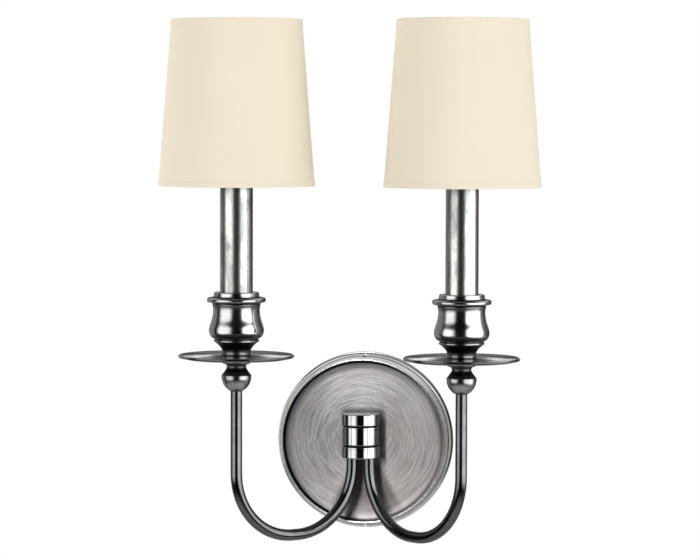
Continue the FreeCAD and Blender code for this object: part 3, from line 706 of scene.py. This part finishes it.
def moulded(name, a, b, rough=(0.35, 0.5), scale=700.0, coat=0.0):
    g = Mat(name)
    p = g.obj()
    n = g.noise(p, scale, 3, 0.6)
    col = g.mix(g.ramp(g.noise(p, scale * 0.12, 3), 0.35, 0.7), a, b)
    g.set(Base_Color=col, Roughness=g.ramp(n, 0.3, 0.7, rough[0], rough[1]), Coat_Weight=coat, Coat_Roughness=0.15)
    g.put(g.bsdf.inputs["Normal"], g.bump(n, 0.00003, 0.5))
    return g.m


def lamp_glass():
    g = Mat("lamp_glass")
    p = g.obj()
    n = g.noise(p, 60, 2, 0.5)
    g.set(Base_Color=g.mix(g.ramp(n, 0.3, 0.7), (0.96, 0.975, 0.98), (0.99, 0.995, 1.0)),
          Roughness=g.ramp(n, 0.3, 0.7, 0.0, 0.02), IOR=1.47, Transmission_Weight=1.0)
    g.put(g.bsdf.inputs["Normal"], g.bump(n, 0.00015, 0.25))
    return g.m


M_TURNED = pewter("pewter_turned", (0.40, 0.40, 0.395), (0.335, 0.335, 0.332), (0.18, 0.18, 0.188), (0.14, 0.19), aniso=0.2,
                  tint=(0.36, 0.345, 0.32))
M_HUB = pewter("pewter_hub", (0.38, 0.38, 0.372), (0.33, 0.33, 0.322), (0.21, 0.21, 0.212), (0.075, 0.12), aniso=0.2,
               tint=(0.32, 0.305, 0.28))
M_KNOP = pewter("pewter_knop", (0.32, 0.322, 0.318), (0.23, 0.232, 0.232), (0.12, 0.122, 0.127), (0.18, 0.25), aniso=0.3,
                lines=(900, 900, 60), line_bump=0.000010, tint=(0.34, 0.33, 0.31))
M_TUBE = pewter("pewter_tube", (0.114, 0.118, 0.122), (0.084, 0.087, 0.091), (0.047, 0.049, 0.052), (0.10, 0.16), aniso=0.0, axis=None,
                lines=(420, 420, 420), line_bump=0.000004, tint=(0.17, 0.165, 0.15), use_recess=False)
M_PAN = pewter("pewter_pan", (0.35, 0.355, 0.362), (0.26, 0.265, 0.272), (0.15, 0.155, 0.163), (0.11, 0.16), aniso=0.0,
               lines=(60, 60, 60), line_bump=0.000002, wave=0.06, tint=(0.28, 0.275, 0.26))
M_SET = plated("set_screw_pewter", (0.58, 0.57, 0.56), (0.70, 0.69, 0.68), (0.22, 0.32), 500)
M_PLATE = brushed_plate()
M_SLEEVE = sleeve_silver()
M_LINING = lining()
M_ZINC = plated("zinc_plated", (0.62, 0.63, 0.65), (0.74, 0.75, 0.77), (0.26, 0.42), 240)
M_GREEN = plated("green_screw", (0.06, 0.32, 0.12), (0.10, 0.42, 0.18), (0.35, 0.5), 500, 0.35)
M_COPPER = plated("bare_copper", (0.66, 0.34, 0.20), (0.80, 0.46, 0.30), (0.25, 0.4), 600)
M_BRASS = plated("plain_brass", (0.70, 0.52, 0.24), (0.82, 0.66, 0.36), (0.22, 0.36), 400)
M_BLACK = moulded("moulded_phenolic", (0.025, 0.024, 0.023), (0.05, 0.048, 0.046), (0.32, 0.5), 900)
M_GLASS = lamp_glass()
M_FIL = plated("filament_wire", (0.50, 0.49, 0.47), (0.68, 0.67, 0.65), (0.3, 0.45), 900)
M_WHITE = moulded("white_painted_wire", (0.80, 0.79, 0.75), (0.87, 0.86, 0.82), (0.28, 0.42), 500, 0.2)
M_LEAD = moulded("lead_insulation", (0.74, 0.71, 0.63), (0.82, 0.80, 0.72), (0.35, 0.5), 600)
M_NUT = moulded("wire_nut_plastic", (0.78, 0.30, 0.05), (0.88, 0.40, 0.08), (0.38, 0.52), 500)

ORIGINAL = {
    "wall_strap": M_ZINC, "plate_set_screws": M_SET, "ground_screw": M_GREEN, "ground_lead": M_COPPER,
    "hub_nipple": M_ZINC, "nipple_nut": M_ZINC, "hub_neck": M_HUB, "wire_nuts": M_NUT,
    "candle_nipple": M_ZINC, "cup_nut": M_ZINC, "socket_bracket": M_ZINC, "socket_body": M_BLACK,
    "socket_shell": M_BRASS, "socket_contact": M_BRASS, "bulb_contact": M_ZINC, "bulb_cap": M_BRASS,
    "bulb_filament": M_FIL, "bulb_glass": M_GLASS, "shade_bottom_ring": M_WHITE, "shade_spider": M_WHITE,
    "bulb_clip": M_WHITE, "clip_rivet": M_ZINC, "lamp_leads": M_LEAD,
}


def finish_node(name, mat):
    o = frame["nodes"][name]
    o.data.materials.clear()
    o.data.materials.append(mat)


for n, o in frame["nodes"].items():
    key = n.replace("left_", "").replace("right_", "")
    finish_node(n, ORIGINAL.get(key, M_TURNED))


def stand_for(ob, node, body, slot, *mats):
    ob.data.materials.clear()
    for m in mats:
        ob.data.materials.append(m)
    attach(ob, body)
    if node:
        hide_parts(*([node] if isinstance(node, str) else node))
    return ob


# ------------------------------------------------------------------ backplate
outer = [
    (PLATE_R, 0.0), (PLATE_R, 1.1), ("arc", (PLATE_R - 0.25, 1.6), (PLATE_R - 0.8, 1.9)),
    ("spl", [(73.3, 2.5), (72.4, 4.0), (71.75, 6.0), (71.5, 7.4)]),
    ("arc", (72.05, 8.1), (71.4, 8.8)),
    ("spl", [(70.9, 10.2), (70.45, 13.0), (70.2, 15.6), (69.75, 17.1)]),
    ("arc", (68.95, 17.95), (68.15, 17.5)),
    ("spl", [(67.3, 16.5), (65.6, 15.3), (63.0, 14.65), (59.0, 14.4)]),
    ("spl", [(50.0, 14.2), (40.0, 13.95), (30.0, 13.7), (18.0, FACE_D)]),
    (0.0, FACE_D)]
inner = [
    (0.0, FACE_D - SHEET), (18.0, FACE_D - SHEET),
    ("spl", [(30.0, 12.5), (40.0, 12.75), (50.0, 13.0), (59.0, 13.2)]),
    ("spl", [(63.0, 13.4), (65.8, 14.0), (67.6, 15.1), (68.3, 15.8)]),
    ("arc", (68.75, 16.1), (69.0, 15.2)),
    ("spl", [(69.25, 13.0), (69.7, 10.2), (70.2, 8.5), (70.3, 7.2), (70.6, 5.4),
             (71.3, 3.0), (71.9, 1.6), (72.0, 0.0)])]


def plate_dark(r, h):
    d = 0.0
    for rc, w, a in ((71.45, 0.55, 0.85), (73.4, 0.5, 0.5)):
        if h < 12:
            d = max(d, a * math.exp(-((r - rc) / w) ** 2) * (1 if rc > 72 or 5.0 < h < 9.6 else 0))
    return d


plate = lathe("backplate_spun", outer + inner, axis="y", segs=320, step=1.0, dark=plate_dark)
cut(plate, [((0, -30, HUB_Z), (0, 5, HUB_Z), NIP_R), ((0, SET_Y, 60), (0, SET_Y, 80), 2.3), ((0, SET_Y, -60), (0, SET_Y, -80), 2.3)])
stand_for(plate, "backplate", "root", "brushed_plate", M_PLATE)

# ------------------------------------------------------------------ hub
g_ = GROOVE_H
barrel = lathe("hub_barrel_turned", [
    (12.0, BAND1), (14.4, BAND1), (14.4, BAND1 + g_ - 0.2), (14.9, BAND1 + g_),
    ("arc", (15.15, BAND1 + g_ + 0.25), (BARREL_R, BAND1 + g_ + 0.7)), (BARREL_R, BAND2 - g_ - 0.7),
    ("arc", (15.15, BAND2 - g_ - 0.25), (14.9, BAND2 - g_)),
    (14.4, BAND2 - g_ + 0.2), (14.4, BAND2), (12.0, BAND2)], (0, HUB_Y, 0),
    dark=lambda r, h: 1.0 if (r < 14.6) else 0.0, bevel=0.1)
cut(barrel, [((0, HUB_Y, HUB_Z), (0, 0, HUB_Z), NIP_R)])
stand_for(barrel, "hub_barrel", "root", "pewter", M_HUB)
R = HUB_R
cap = lathe("hub_top_cap_turned", [
    (0, 22.6), (12.0, 22.6), (12.0, BAND2), (R - 0.5, BAND2), ("arc", (R - 0.15, BAND2 + 0.15), (R, BAND2 + 0.5)),
    ("spl", [(R - 0.1, (BAND2 + HUB_TOP) / 2), (R, HUB_TOP - 0.8)]),
    ("arc", (R - 0.25, HUB_TOP - 0.25), (R - 0.8, HUB_TOP)), (0, HUB_TOP)], (0, HUB_Y, 0),
    dark=lambda r, h: 0.6 if h < BAND2 + 0.2 else 0.0)
stand_for(cap, "hub_top_cap", "root", "pewter", M_HUB)
low = lathe("hub_lower_collar_turned", [
    (0, HUB_BOT), (R - 0.8, HUB_BOT), ("arc", (R - 0.25, HUB_BOT + 0.25), (R, HUB_BOT + 0.8)),
    ("spl", [(R - 0.1, (HUB_BOT + BAND1) / 2), (R, BAND1 - 0.5)]),
    ("arc", (R - 0.15, BAND1 - 0.15), (R - 0.5, BAND1)),
    (12.0, BAND1), (12.0, -5.0), (0, -5.0)], (0, HUB_Y, 0),
    dark=lambda r, h: 0.6 if h > BAND1 - 0.2 or (h < HUB_BOT + 0.1 and r < 15) else 0.0)
cut(low, [((s * LEG_X, HUB_Y, -20), (s * LEG_X, HUB_Y, 0), TUBE_R + 0.02) for s in (1, -1)])
stand_for(low, "hub_lower_collar", "root", "pewter", M_HUB)

# ------------------------------------------------------------------ candles
CUP = [
    (NIP_R, 78.9), (11.3, 78.9), ("arc", (11.85, 79.3), (11.7, 80.3)),
    ("spl", [(11.7, 82.0), (12.1, 83.6), (12.95, 85.2), (14.3, 86.8), (15.9, 88.3), (17.3, 89.5)]),
    ("arc", (18.5, 90.5), (17.9, 91.7)), (17.75, 92.2),
    ("spl", [(18.9, 92.75), (20.7, 94.1), (21.9, 96.1), (22.45, 99.1), (22.15, 101.8),
             (21.4, 104.4), (20.5, 107.0), (19.5, 111.0), (19.0, 115.2), (19.15, 118.0), (19.75, 120.4)]),
    (19.75, 121.0), (18.9, 121.4), (20.2, 122.0), (22.1, 122.0),
    ("arc", (24.15, 124.05), (22.1, 126.1)), (18.5, 126.3), (18.95, 126.9),
    ("spl", [(18.6, 128.2), (18.35, 129.8)]), ("arc", (18.1, 130.25), (17.6, 130.4)),
    (14.3, 130.4), (13.75, 129.9), (13.75, 124.0), (11.5, 124.0), (11.5, 121.8),
    (15.0, 116.5), (15.2, 108.0), (14.0, 102.0), (10.4, 97.2), (10.4, 96.0), (NIP_R, 96.0)]


def cup_patina_and_shade(r, h):
    """Black patina in the grooves under the bead and above the foot, and painted shade below the bead, over the foot
    under the belly, where it meets the pan and inside round the sleeve.
    """
    d = 0.0
    for hc, w, a in ((121.3, 0.8, 1.0), (119.6, 2.4, 0.7), (126.35, 0.55, 0.95), (92.3, 0.9, 1.0), (90.0, 1.3, 0.3), (86.0, 4.4, 0.97), (80.6, 1.2, 0.6), (94.2, 1.6, 0.75)):
        d = max(d, a * math.exp(-((h - hc) / w) ** 2))
    if r < 14.5 and h > 100:
        d = max(d, 0.7)
    return d


PAN = [
    (NIP_R, 76.9), (12.4, 76.9),
    ("spl", [(18.0, 76.3), (27.0, 75.85), (36.0, 75.7), (40.6, 75.7)]),
    ("arc", (42.0, 76.0), (42.6, 76.6)), (43.0, 76.8), (46.2, 76.8),
    ("arc", (47.2, 77.25), (47.35, 78.1)), ("arc", (47.15, 78.95), (46.3, 79.3)), (45.8, 79.25),
    ("spl", [(44.4, 78.6), (41.0, 78.0), (34.0, 77.75), (26.0, 78.0), (18.0, 78.55), (14.0, 78.9)]),
    (NIP_R, 78.9)]


def pan_shade_and_reflection(r, h):
    # painted reflection of the dark cup foot round the centre, a black line in the rim's inner corner, and painted
    # shade over the underside
    t = min(1.0, max(0.0, (r - 15.0) / 10.0))
    d = 0.95 * (1 - t * t * (3 - 2 * t))
    if h > 77.6 and r < 46.8:
        d = max(d, 0.97 * math.exp(-((r - 44.9) / 1.4) ** 4))
    if h < 77.6:
        d = max(d, 0.9 if r > 45.0 else 0.3)
    return d


def knop_path():
    zc, rs, rz = 61.3, 12.2, 12.9

    def sp(z):
        return (rs * math.sqrt(1 - ((zc - z) / rz) ** 2), z)
    return [(NIP_R, 76.9), (9.4, 76.9), (9.4, 74.4), (11.2, 74.1), ("arc", (11.8, 73.0), (11.0, 72.0)),
            (9.6, 71.7), ("spl", [(8.5, 70.9), (8.0, 69.9), (7.95, 69.0), (8.4, 67.8), (9.3, 66.3), (10.4, 64.8), (11.4, 63.5)]),
            (11.9, 62.9), ("arc", (12.2, 62.5), (12.25, 61.9)), (rs, zc),
            ("spl", [sp(59.0), sp(56.5), sp(54.0), sp(51.8), sp(49.9)]),
            (TUBE_R, 49.2), (TUBE_R, ARM_TOP), (NIP_R, ARM_TOP)]


def knop_shade_and_patina(r, h):
    # painted shade on the collar and neck under the pan and on the ball's underside, with black in the groove below the
    # collar
    d = 0.0
    if h > 63.0:
        d = 0.7
    for hc, w, a in ((75.6, 1.4, 1.0), (66.6, 3.4, 1.0), (71.2, 0.8, 0.95)):
        d = max(d, a * math.exp(-((h - hc) / w) ** 2))
    if h < 51:
        d = max(d, 0.6)
    return d


def shade(side, cx, body):
    """Hardback shade: woven cover on a stiff liner, bound hems, a lapped seam at the back."""
    slope = (SHADE_RT - SHADE_RB) / (SHADE_TOP - SHADE_BOT)
    segs, t = 288, SHADE_T
    rnd = random.Random(11 if cx < 0 else 23)
    ph = [rnd.random() * 6.28 for _ in range(4)]
    seam = math.pi / 2 + 0.05

    def wave(a, h):
        return (0.10 * math.sin(2 * a + ph[0]) + 0.06 * math.sin(3 * a + ph[1] + h * 0.01) + 0.03 * math.sin(7 * a + ph[2])
                + 0.02 * math.sin(13 * a + ph[3] + h * 0.03))

    def ring_points(h, off, lap=0.0, amp=1.0):
        r0 = SHADE_RB + slope * (h - SHADE_BOT) + off
        row = []
        for k in range(segs):
            a = 2 * math.pi * k / segs
            d = (a - seam + math.pi) % (2 * math.pi) - math.pi
            r = r0 + amp * wave(a, h)
            if lap:
                x = d * r0
                r += lap * max(0.0, min(1.0, (x + 4.5) / 0.6)) * max(0.0, min(1.0, (4.5 - x) / 2.5))
            row.append((cx + r * math.cos(a), CANDLE_Y + r * math.sin(a), h))
        return row

    def skin(name, rows, mats, index=None, close=True):
        verts = [v for row in rows for v in row]
        faces, idx = [], []
        n = len(rows)
        for i in range(n if close else n - 1):
            a, b = i * segs, ((i + 1) % n) * segs
            for k in range(segs):
                k2 = (k + 1) % segs
                faces.append((a + k, a + k2, b + k2, b + k))
                idx.append(index[i] if index else 0)
        me = bpy.data.meshes.new(name)
        me.from_pydata([tuple(c * MM for c in v) for v in verts], [], faces)
        me.polygons.foreach_set("material_index", idx)
        bm = bmesh.new()
        bm.from_mesh(me)
        bmesh.ops.recalc_face_normals(bm, faces=bm.faces)
        bm.to_mesh(me)
        bm.free()
        for p in me.polygons:
            p.use_smooth = True
        return link(bpy.data.objects.new(name, me))

    cover = fabric(side + "_shade_fabric", cx=cx)
    hs = [SHADE_BOT + 0.5 + (SHADE_TOP - SHADE_BOT - 1.0) * i / 36 for i in range(37)]
    rows = [ring_points(h, -0.28, 0.22) for h in hs] + [ring_points(h, -t + 0.02, 0.0) for h in hs[::-1]]
    index = [0] * 36 + [0] + [1] * 36 + [0]
    body_ob = skin(side + "_shade_cover", rows, None, index)
    stand_for(body_ob, side + "_shade_shell", body, "shade_fabric", cover, M_LINING)

    for which, h0, sgn, tall in (("top", SHADE_TOP, -1, 4.6), ("bottom", SHADE_BOT, 1, 4.4)):
        # a strip of the same cloth folded over the edge, over the ring
        prof = [(-0.30, tall + 0.05), (-0.06, tall - 0.05), (0.0, tall - 0.35), (0.0, tall * 0.55), (0.02, 0.7), (-0.05, 0.25), (-0.28, 0.02),
                (-0.62, 0.02), (-0.86, 0.22), (-0.92, 0.7), (-0.93, tall * 0.5), (-0.93, tall - 0.6), (-0.90, tall - 0.1), (-0.78, tall),
                (-0.70, tall - 0.2), (-0.68, 1.2), (-0.55, 0.75), (-0.40, 1.2), (-0.38, tall - 0.1)]
        fine = cubic([prof[i] for i in range(len(prof))], 0.22)
        rows = [ring_points(h0 + sgn * hh, off, 0.18, 1.0) for off, hh in [prof[0]] + fine]
        if sgn < 0:
            pass
        hem = skin(side + "_shade_" + which + "_hem", rows, None)
        stand_for(hem, None, body, "shade_fabric", cover)


for side, sgn in (("left", -1), ("right", 1)):
    cx = sgn * CANDLE_X
    ctr = (cx, CANDLE_Y, 0.0)
    hub = Vector((sgn * LEG_X, HUB_Y, 0))
    top = Vector((cx, CANDLE_Y, 0))
    z = Vector((0, 0, 1))
    line = tube_path([hub + z * LEG_TOP, hub + z * ARM_LOW, top + z * ARM_LOW, top + z * ARM_TOP], [BEND_R, BEND_R])
    arm = sweep(side + "_arm_tube", line, TUBE_R, 56, TUBE_BORE)
    stand_for(arm, side + "_arm", "root", "pewter", M_TUBE)
    stand_for(lathe(side + "_ball_knop_turned", knop_path(), ctr, dark=knop_shade_and_patina, segs=144), side + "_ball_knop", "root", "pewter", M_KNOP)
    stand_for(lathe(side + "_drip_pan_turned", PAN, ctr, dark=pan_shade_and_reflection, segs=224, step=0.9, bevel=0.12), side + "_drip_pan", "root", "pewter", M_PAN)
    stand_for(lathe(side + "_candle_cup_turned", CUP, ctr, dark=cup_patina_and_shade, segs=176), side + "_candle_cup", "root", "pewter", M_TURNED)
    sleeve = lathe(side + "_candle_sleeve_tube", [
        (SLEEVE_BORE, SLEEVE_BOT), (SLEEVE_R, SLEEVE_BOT), (SLEEVE_R, SLEEVE_TOP - 0.5),
        ("arc", (SLEEVE_R - 0.15, SLEEVE_TOP - 0.15), (SLEEVE_R - 0.5, SLEEVE_TOP)),
        (10.4, SLEEVE_TOP), (10.4, SLEEVE_TOP - 1.0), (SLEEVE_BORE, SLEEVE_TOP - 1.0)], ctr, segs=144, dark=lambda r, h: 0.0)
    stand_for(sleeve, side + "_candle_sleeve", side + "_sleeve", "sleeve_silver", M_SLEEVE)
    shade(side, cx, side + "_shade")


# ------------------------------------------------------------------ floor, light, world
def floor():
    me = bpy.data.meshes.new("floor")
    bm = bmesh.new()
    bmesh.ops.create_circle(bm, cap_ends=True, segments=96, radius=4.6)
    bm.to_mesh(me)
    bm.free()
    ob = link(bpy.data.objects.new("floor", me))
    ob.location = (0, 0, -1.9)
    g = Mat("pale_floor", "ShaderNodeBsdfDiffuse")
    p = g.obj()
    r, _ = g.polar(p)
    col = g.mix(g.ramp(g.noise(p, 3, 3), 0.3, 0.7), (0.86, 0.86, 0.86), (0.88, 0.88, 0.88))
    g.put(g.bsdf.inputs["Color"], col)
    clear = g.new("ShaderNodeBsdfTransparent")
    mix = g.new("ShaderNodeMixShader")
    g.put(mix.inputs[0], g.ramp(r, 1.6, 4.4))
    g.t.links.new(g.bsdf.outputs[0], mix.inputs[1])
    g.t.links.new(clear.outputs[0], mix.inputs[2])
    g.t.links.new(mix.outputs[0], g.out.inputs["Surface"])
    me.materials.append(g.m)


floor()


def area(name, pos, target, w, h, radiance, colour=(1, 1, 1), glossy=True, diffuse=True):
    li = bpy.data.lights.new(name, "AREA")
    li.shape, li.size, li.size_y = "RECTANGLE", w, h
    li.energy = radiance * w * h * math.pi
    li.color = colour
    ob = link(bpy.data.objects.new(name, li))
    ob.location = pos
    d = Vector(target) - Vector(pos)
    ob.rotation_euler = d.to_track_quat("-Z", "Y").to_euler()
    ob.visible_camera = False
    ob.visible_glossy = glossy
    ob.visible_diffuse = diffuse
    return ob


AIM = (0.0, -0.09, 0.14)


def around(az, dist, z):
    a = math.radians(az)
    return (AIM[0] + dist * math.sin(a), AIM[1] - dist * math.cos(a), z)


no_plate = bpy.data.collections.new("all_but_the_plate")
no_plate.objects.link(plate)
no_plate.collection_objects[0].light_linking.link_state = "EXCLUDE"
pans = [o for o in bpy.data.objects if o.name.endswith("_drip_pan_turned")]
no_pans = bpy.data.collections.new("all_but_plate_and_pans")
pans_only = bpy.data.collections.new("the_pans")
for k, o in enumerate([plate] + pans):
    no_pans.objects.link(o)
    no_pans.collection_objects[k].light_linking.link_state = "EXCLUDE"
for o in pans:
    pans_only.objects.link(o)


def fill(name, az, dist, z, w, h, radiance, colour=(1, 1, 1)):
    """Light for the shades and other matt parts, kept out of the reflections."""
    ob = area(name, around(az, dist, z), (AIM[0], AIM[1], 0.25), w, h, radiance, colour, glossy=False)
    ob.light_linking.receiver_collection = no_plate
    return ob


fill("left_fill", -112, 1.7, 0.35, 1.2, 1.4, 1.60, (1.0, 0.985, 0.96))
fill("front_fill", -6, 2.4, 0.5, 1.4, 1.2, 1.2, (1.0, 0.99, 0.97))
fill("right_fill", 54, 3.0, 0.50, 3.2, 3.0, 3.0, (1.0, 0.99, 0.97))
fill("left_front_fill", -50, 3.0, 0.50, 2.9, 3.0, 2.45, (1.0, 0.99, 0.97))


def soft_box(name, inner, outer, z0, z1, radiance, soft=(0.2, 0.15), colour=(1, 1, 1), receivers=no_pans):
    """An upright soft box over two points in plan, fading to its edges."""
    a, b = Vector((*inner, 0)), Vector((*outer, 0))
    mid = (a + b) / 2 + Vector((0, 0, (z0 + z1) / 2))
    u = (b - a).normalized()
    n = Vector((u.y, -u.x, 0))
    if n.dot(Vector(AIM) - mid) < 0:
        n = -n
    ob = area(name, mid, mid + n, (b - a).length, z1 - z0, radiance, colour, True, False)
    ob.light_linking.receiver_collection = receivers
    li = ob.data
    li.use_nodes = True
    t = li.node_tree
    em = next(q for q in t.nodes if q.type == "EMISSION")
    geo = t.nodes.new("ShaderNodeNewGeometry")
    sep = t.nodes.new("ShaderNodeSeparateXYZ")
    t.links.new(geo.outputs["Parametric"], sep.inputs[0])
    value = None
    for k, w in enumerate(soft):
        d = t.nodes.new("ShaderNodeMath")
        d.operation = "SUBTRACT"
        t.links.new(sep.outputs[k], d.inputs[0])
        d.inputs[1].default_value = 0.5
        e = t.nodes.new("ShaderNodeMath")
        e.operation = "ABSOLUTE"
        t.links.new(d.outputs[0], e.inputs[0])
        m = t.nodes.new("ShaderNodeMapRange")
        m.interpolation_type = "SMOOTHSTEP"
        t.links.new(e.outputs[0], m.inputs["Value"])
        for key_, v in (("From Min", 0.5 - w), ("From Max", 0.5), ("To Min", 1.0), ("To Max", 0.0)):
            m.inputs[key_].default_value = v
        if value is None:
            value = m.outputs[0]
        else:
            x = t.nodes.new("ShaderNodeMath")
            x.operation = "MULTIPLY"
            t.links.new(value, x.inputs[0])
            t.links.new(m.outputs[0], x.inputs[1])
            value = x.outputs[0]
    t.links.new(value, em.inputs["Strength"])
    return ob


soft_box("right_box", (0.42, -1.01), (0.82, 0.20), -0.30, 0.61, 4.5, (0.24, 0.20))
soft_box("left_box", (-0.20, -1.00), (-0.98, -0.20), -0.30, 0.58, 3.0, (0.32, 0.22))
soft_box("right_box_pans", (0.42, -1.01), (0.82, 0.20), -0.30, 0.61, 0.8, (0.24, 0.20), receivers=pans_only)
soft_box("left_box_pans", (-0.20, -1.00), (-0.98, -0.20), -0.30, 0.58, 0.8, (0.32, 0.22), receivers=pans_only)
area("pan_sheen", around(172.0, 2.0, 0.228), (0, AIM[1], 0.085), 1.9, 0.085, 1.45, glossy=True, diffuse=False).light_linking.receiver_collection = pans_only
key = area("plate_key", around(-9.0, 1.6, 0.75), (0, 0, 0), 0.17, 1.3, 41.0)
only = bpy.data.collections.new("lit_by_plate_key")
only.objects.link(plate)
key.light_linking.receiver_collection = only
for name, az, w, k in (("plate_left", -146.0, 1.6, 0.42), ("plate_right", 142.0, 1.6, 0.28), ("plate_lip", -84.0, 0.5, 2.2)):
    area(name, around(az, 1.5, 0.15), (0, 0, 0), w, 1.6, k).light_linking.receiver_collection = only


def world():
    """White to the camera; to the object a dim studio, lighter behind and below."""
    w = bpy.data.worlds.new("studio")
    scene.world = w
    w.use_nodes = True
    t = w.node_tree
    t.nodes.clear()
    out = t.nodes.new("ShaderNodeOutputWorld")
    lp = t.nodes.new("ShaderNodeLightPath")
    mix = t.nodes.new("ShaderNodeMixShader")
    white = t.nodes.new("ShaderNodeBackground")
    white.inputs["Color"].default_value = (1, 1, 1, 1)
    room = t.nodes.new("ShaderNodeBackground")
    room.inputs["Color"].default_value = (1.0, 0.995, 0.985, 1)
    tc = t.nodes.new("ShaderNodeTexCoord")
    sep = t.nodes.new("ShaderNodeSeparateXYZ")
    t.links.new(tc.outputs["Generated"], sep.inputs[0])

    def mth(op, *v):
        n = t.nodes.new("ShaderNodeMath")
        n.operation = op
        for i, x in enumerate(v):
            if isinstance(x, bpy.types.NodeSocket):
                t.links.new(x, n.inputs[i])
            else:
                n.inputs[i].default_value = x
        return n.outputs[0]

    def step(sock, c, soft, up=True):
        n = t.nodes.new("ShaderNodeMapRange")
        n.interpolation_type = "SMOOTHSTEP"
        t.links.new(sock, n.inputs["Value"])
        lo, hi = (0.0, 1.0) if up else (1.0, 0.0)
        for k, v in (("From Min", math.radians(c - soft)), ("From Max", math.radians(c + soft)), ("To Min", lo), ("To Max", hi)):
            n.inputs[k].default_value = v
        return n.outputs[0]

    az = mth("ARCTAN2", sep.outputs[0], mth("MULTIPLY", sep.outputs[1], -1.0))
    el = mth("ARCSINE", sep.outputs[2])
    aaz = mth("ABSOLUTE", az)

    def window(sock, a, sa, b, sb):
        if a is None:
            return step(sock, b, sb, False)
        if b is None:
            return step(sock, a, sa)
        return mth("MULTIPLY", step(sock, a, sa), step(sock, b, sb, False))
    parts = [
        (window(az, -150, 10, -99, 8), window(el, -30, 10, 24, 8), 0.42),
        (window(az, 94, 8, 128, 22), window(el, -40, 10, 40, 10), 0.42),
        (window(aaz, 108, 16, None, 0), window(el, 24, 8, 56, 10), 1.05),
        (window(aaz, 118, 16, None, 0), window(el, -40, 10, -12, 5), 0.16),
        (window(aaz, 150, 12, None, 0), window(el, 2.0, 1.8, 7.5, 2.2), 0.32),
        (window(aaz, 100, 16, None, 0), None, 0.06),
        (None, window(el, 50, 14, None, 0), 0.22),
        (None, window(el, None, 0, -46, 22), 0.30),
    ]
    total = 0.005
    for a, b, k in parts:
        v = mth("MULTIPLY", a, b) if a is not None and b is not None else (a if a is not None else b)
        total = mth("MULTIPLY_ADD", v, k, total)
    t.links.new(total, room.inputs["Strength"])
    t.links.new(lp.outputs["Is Camera Ray"], mix.inputs[0])
    t.links.new(room.outputs[0], mix.inputs[1])
    t.links.new(white.outputs[0], mix.inputs[2])
    t.links.new(mix.outputs[0], out.inputs["Surface"])


world()
scene.view_settings.view_transform = "Standard"
scene.view_settings.look = "None"
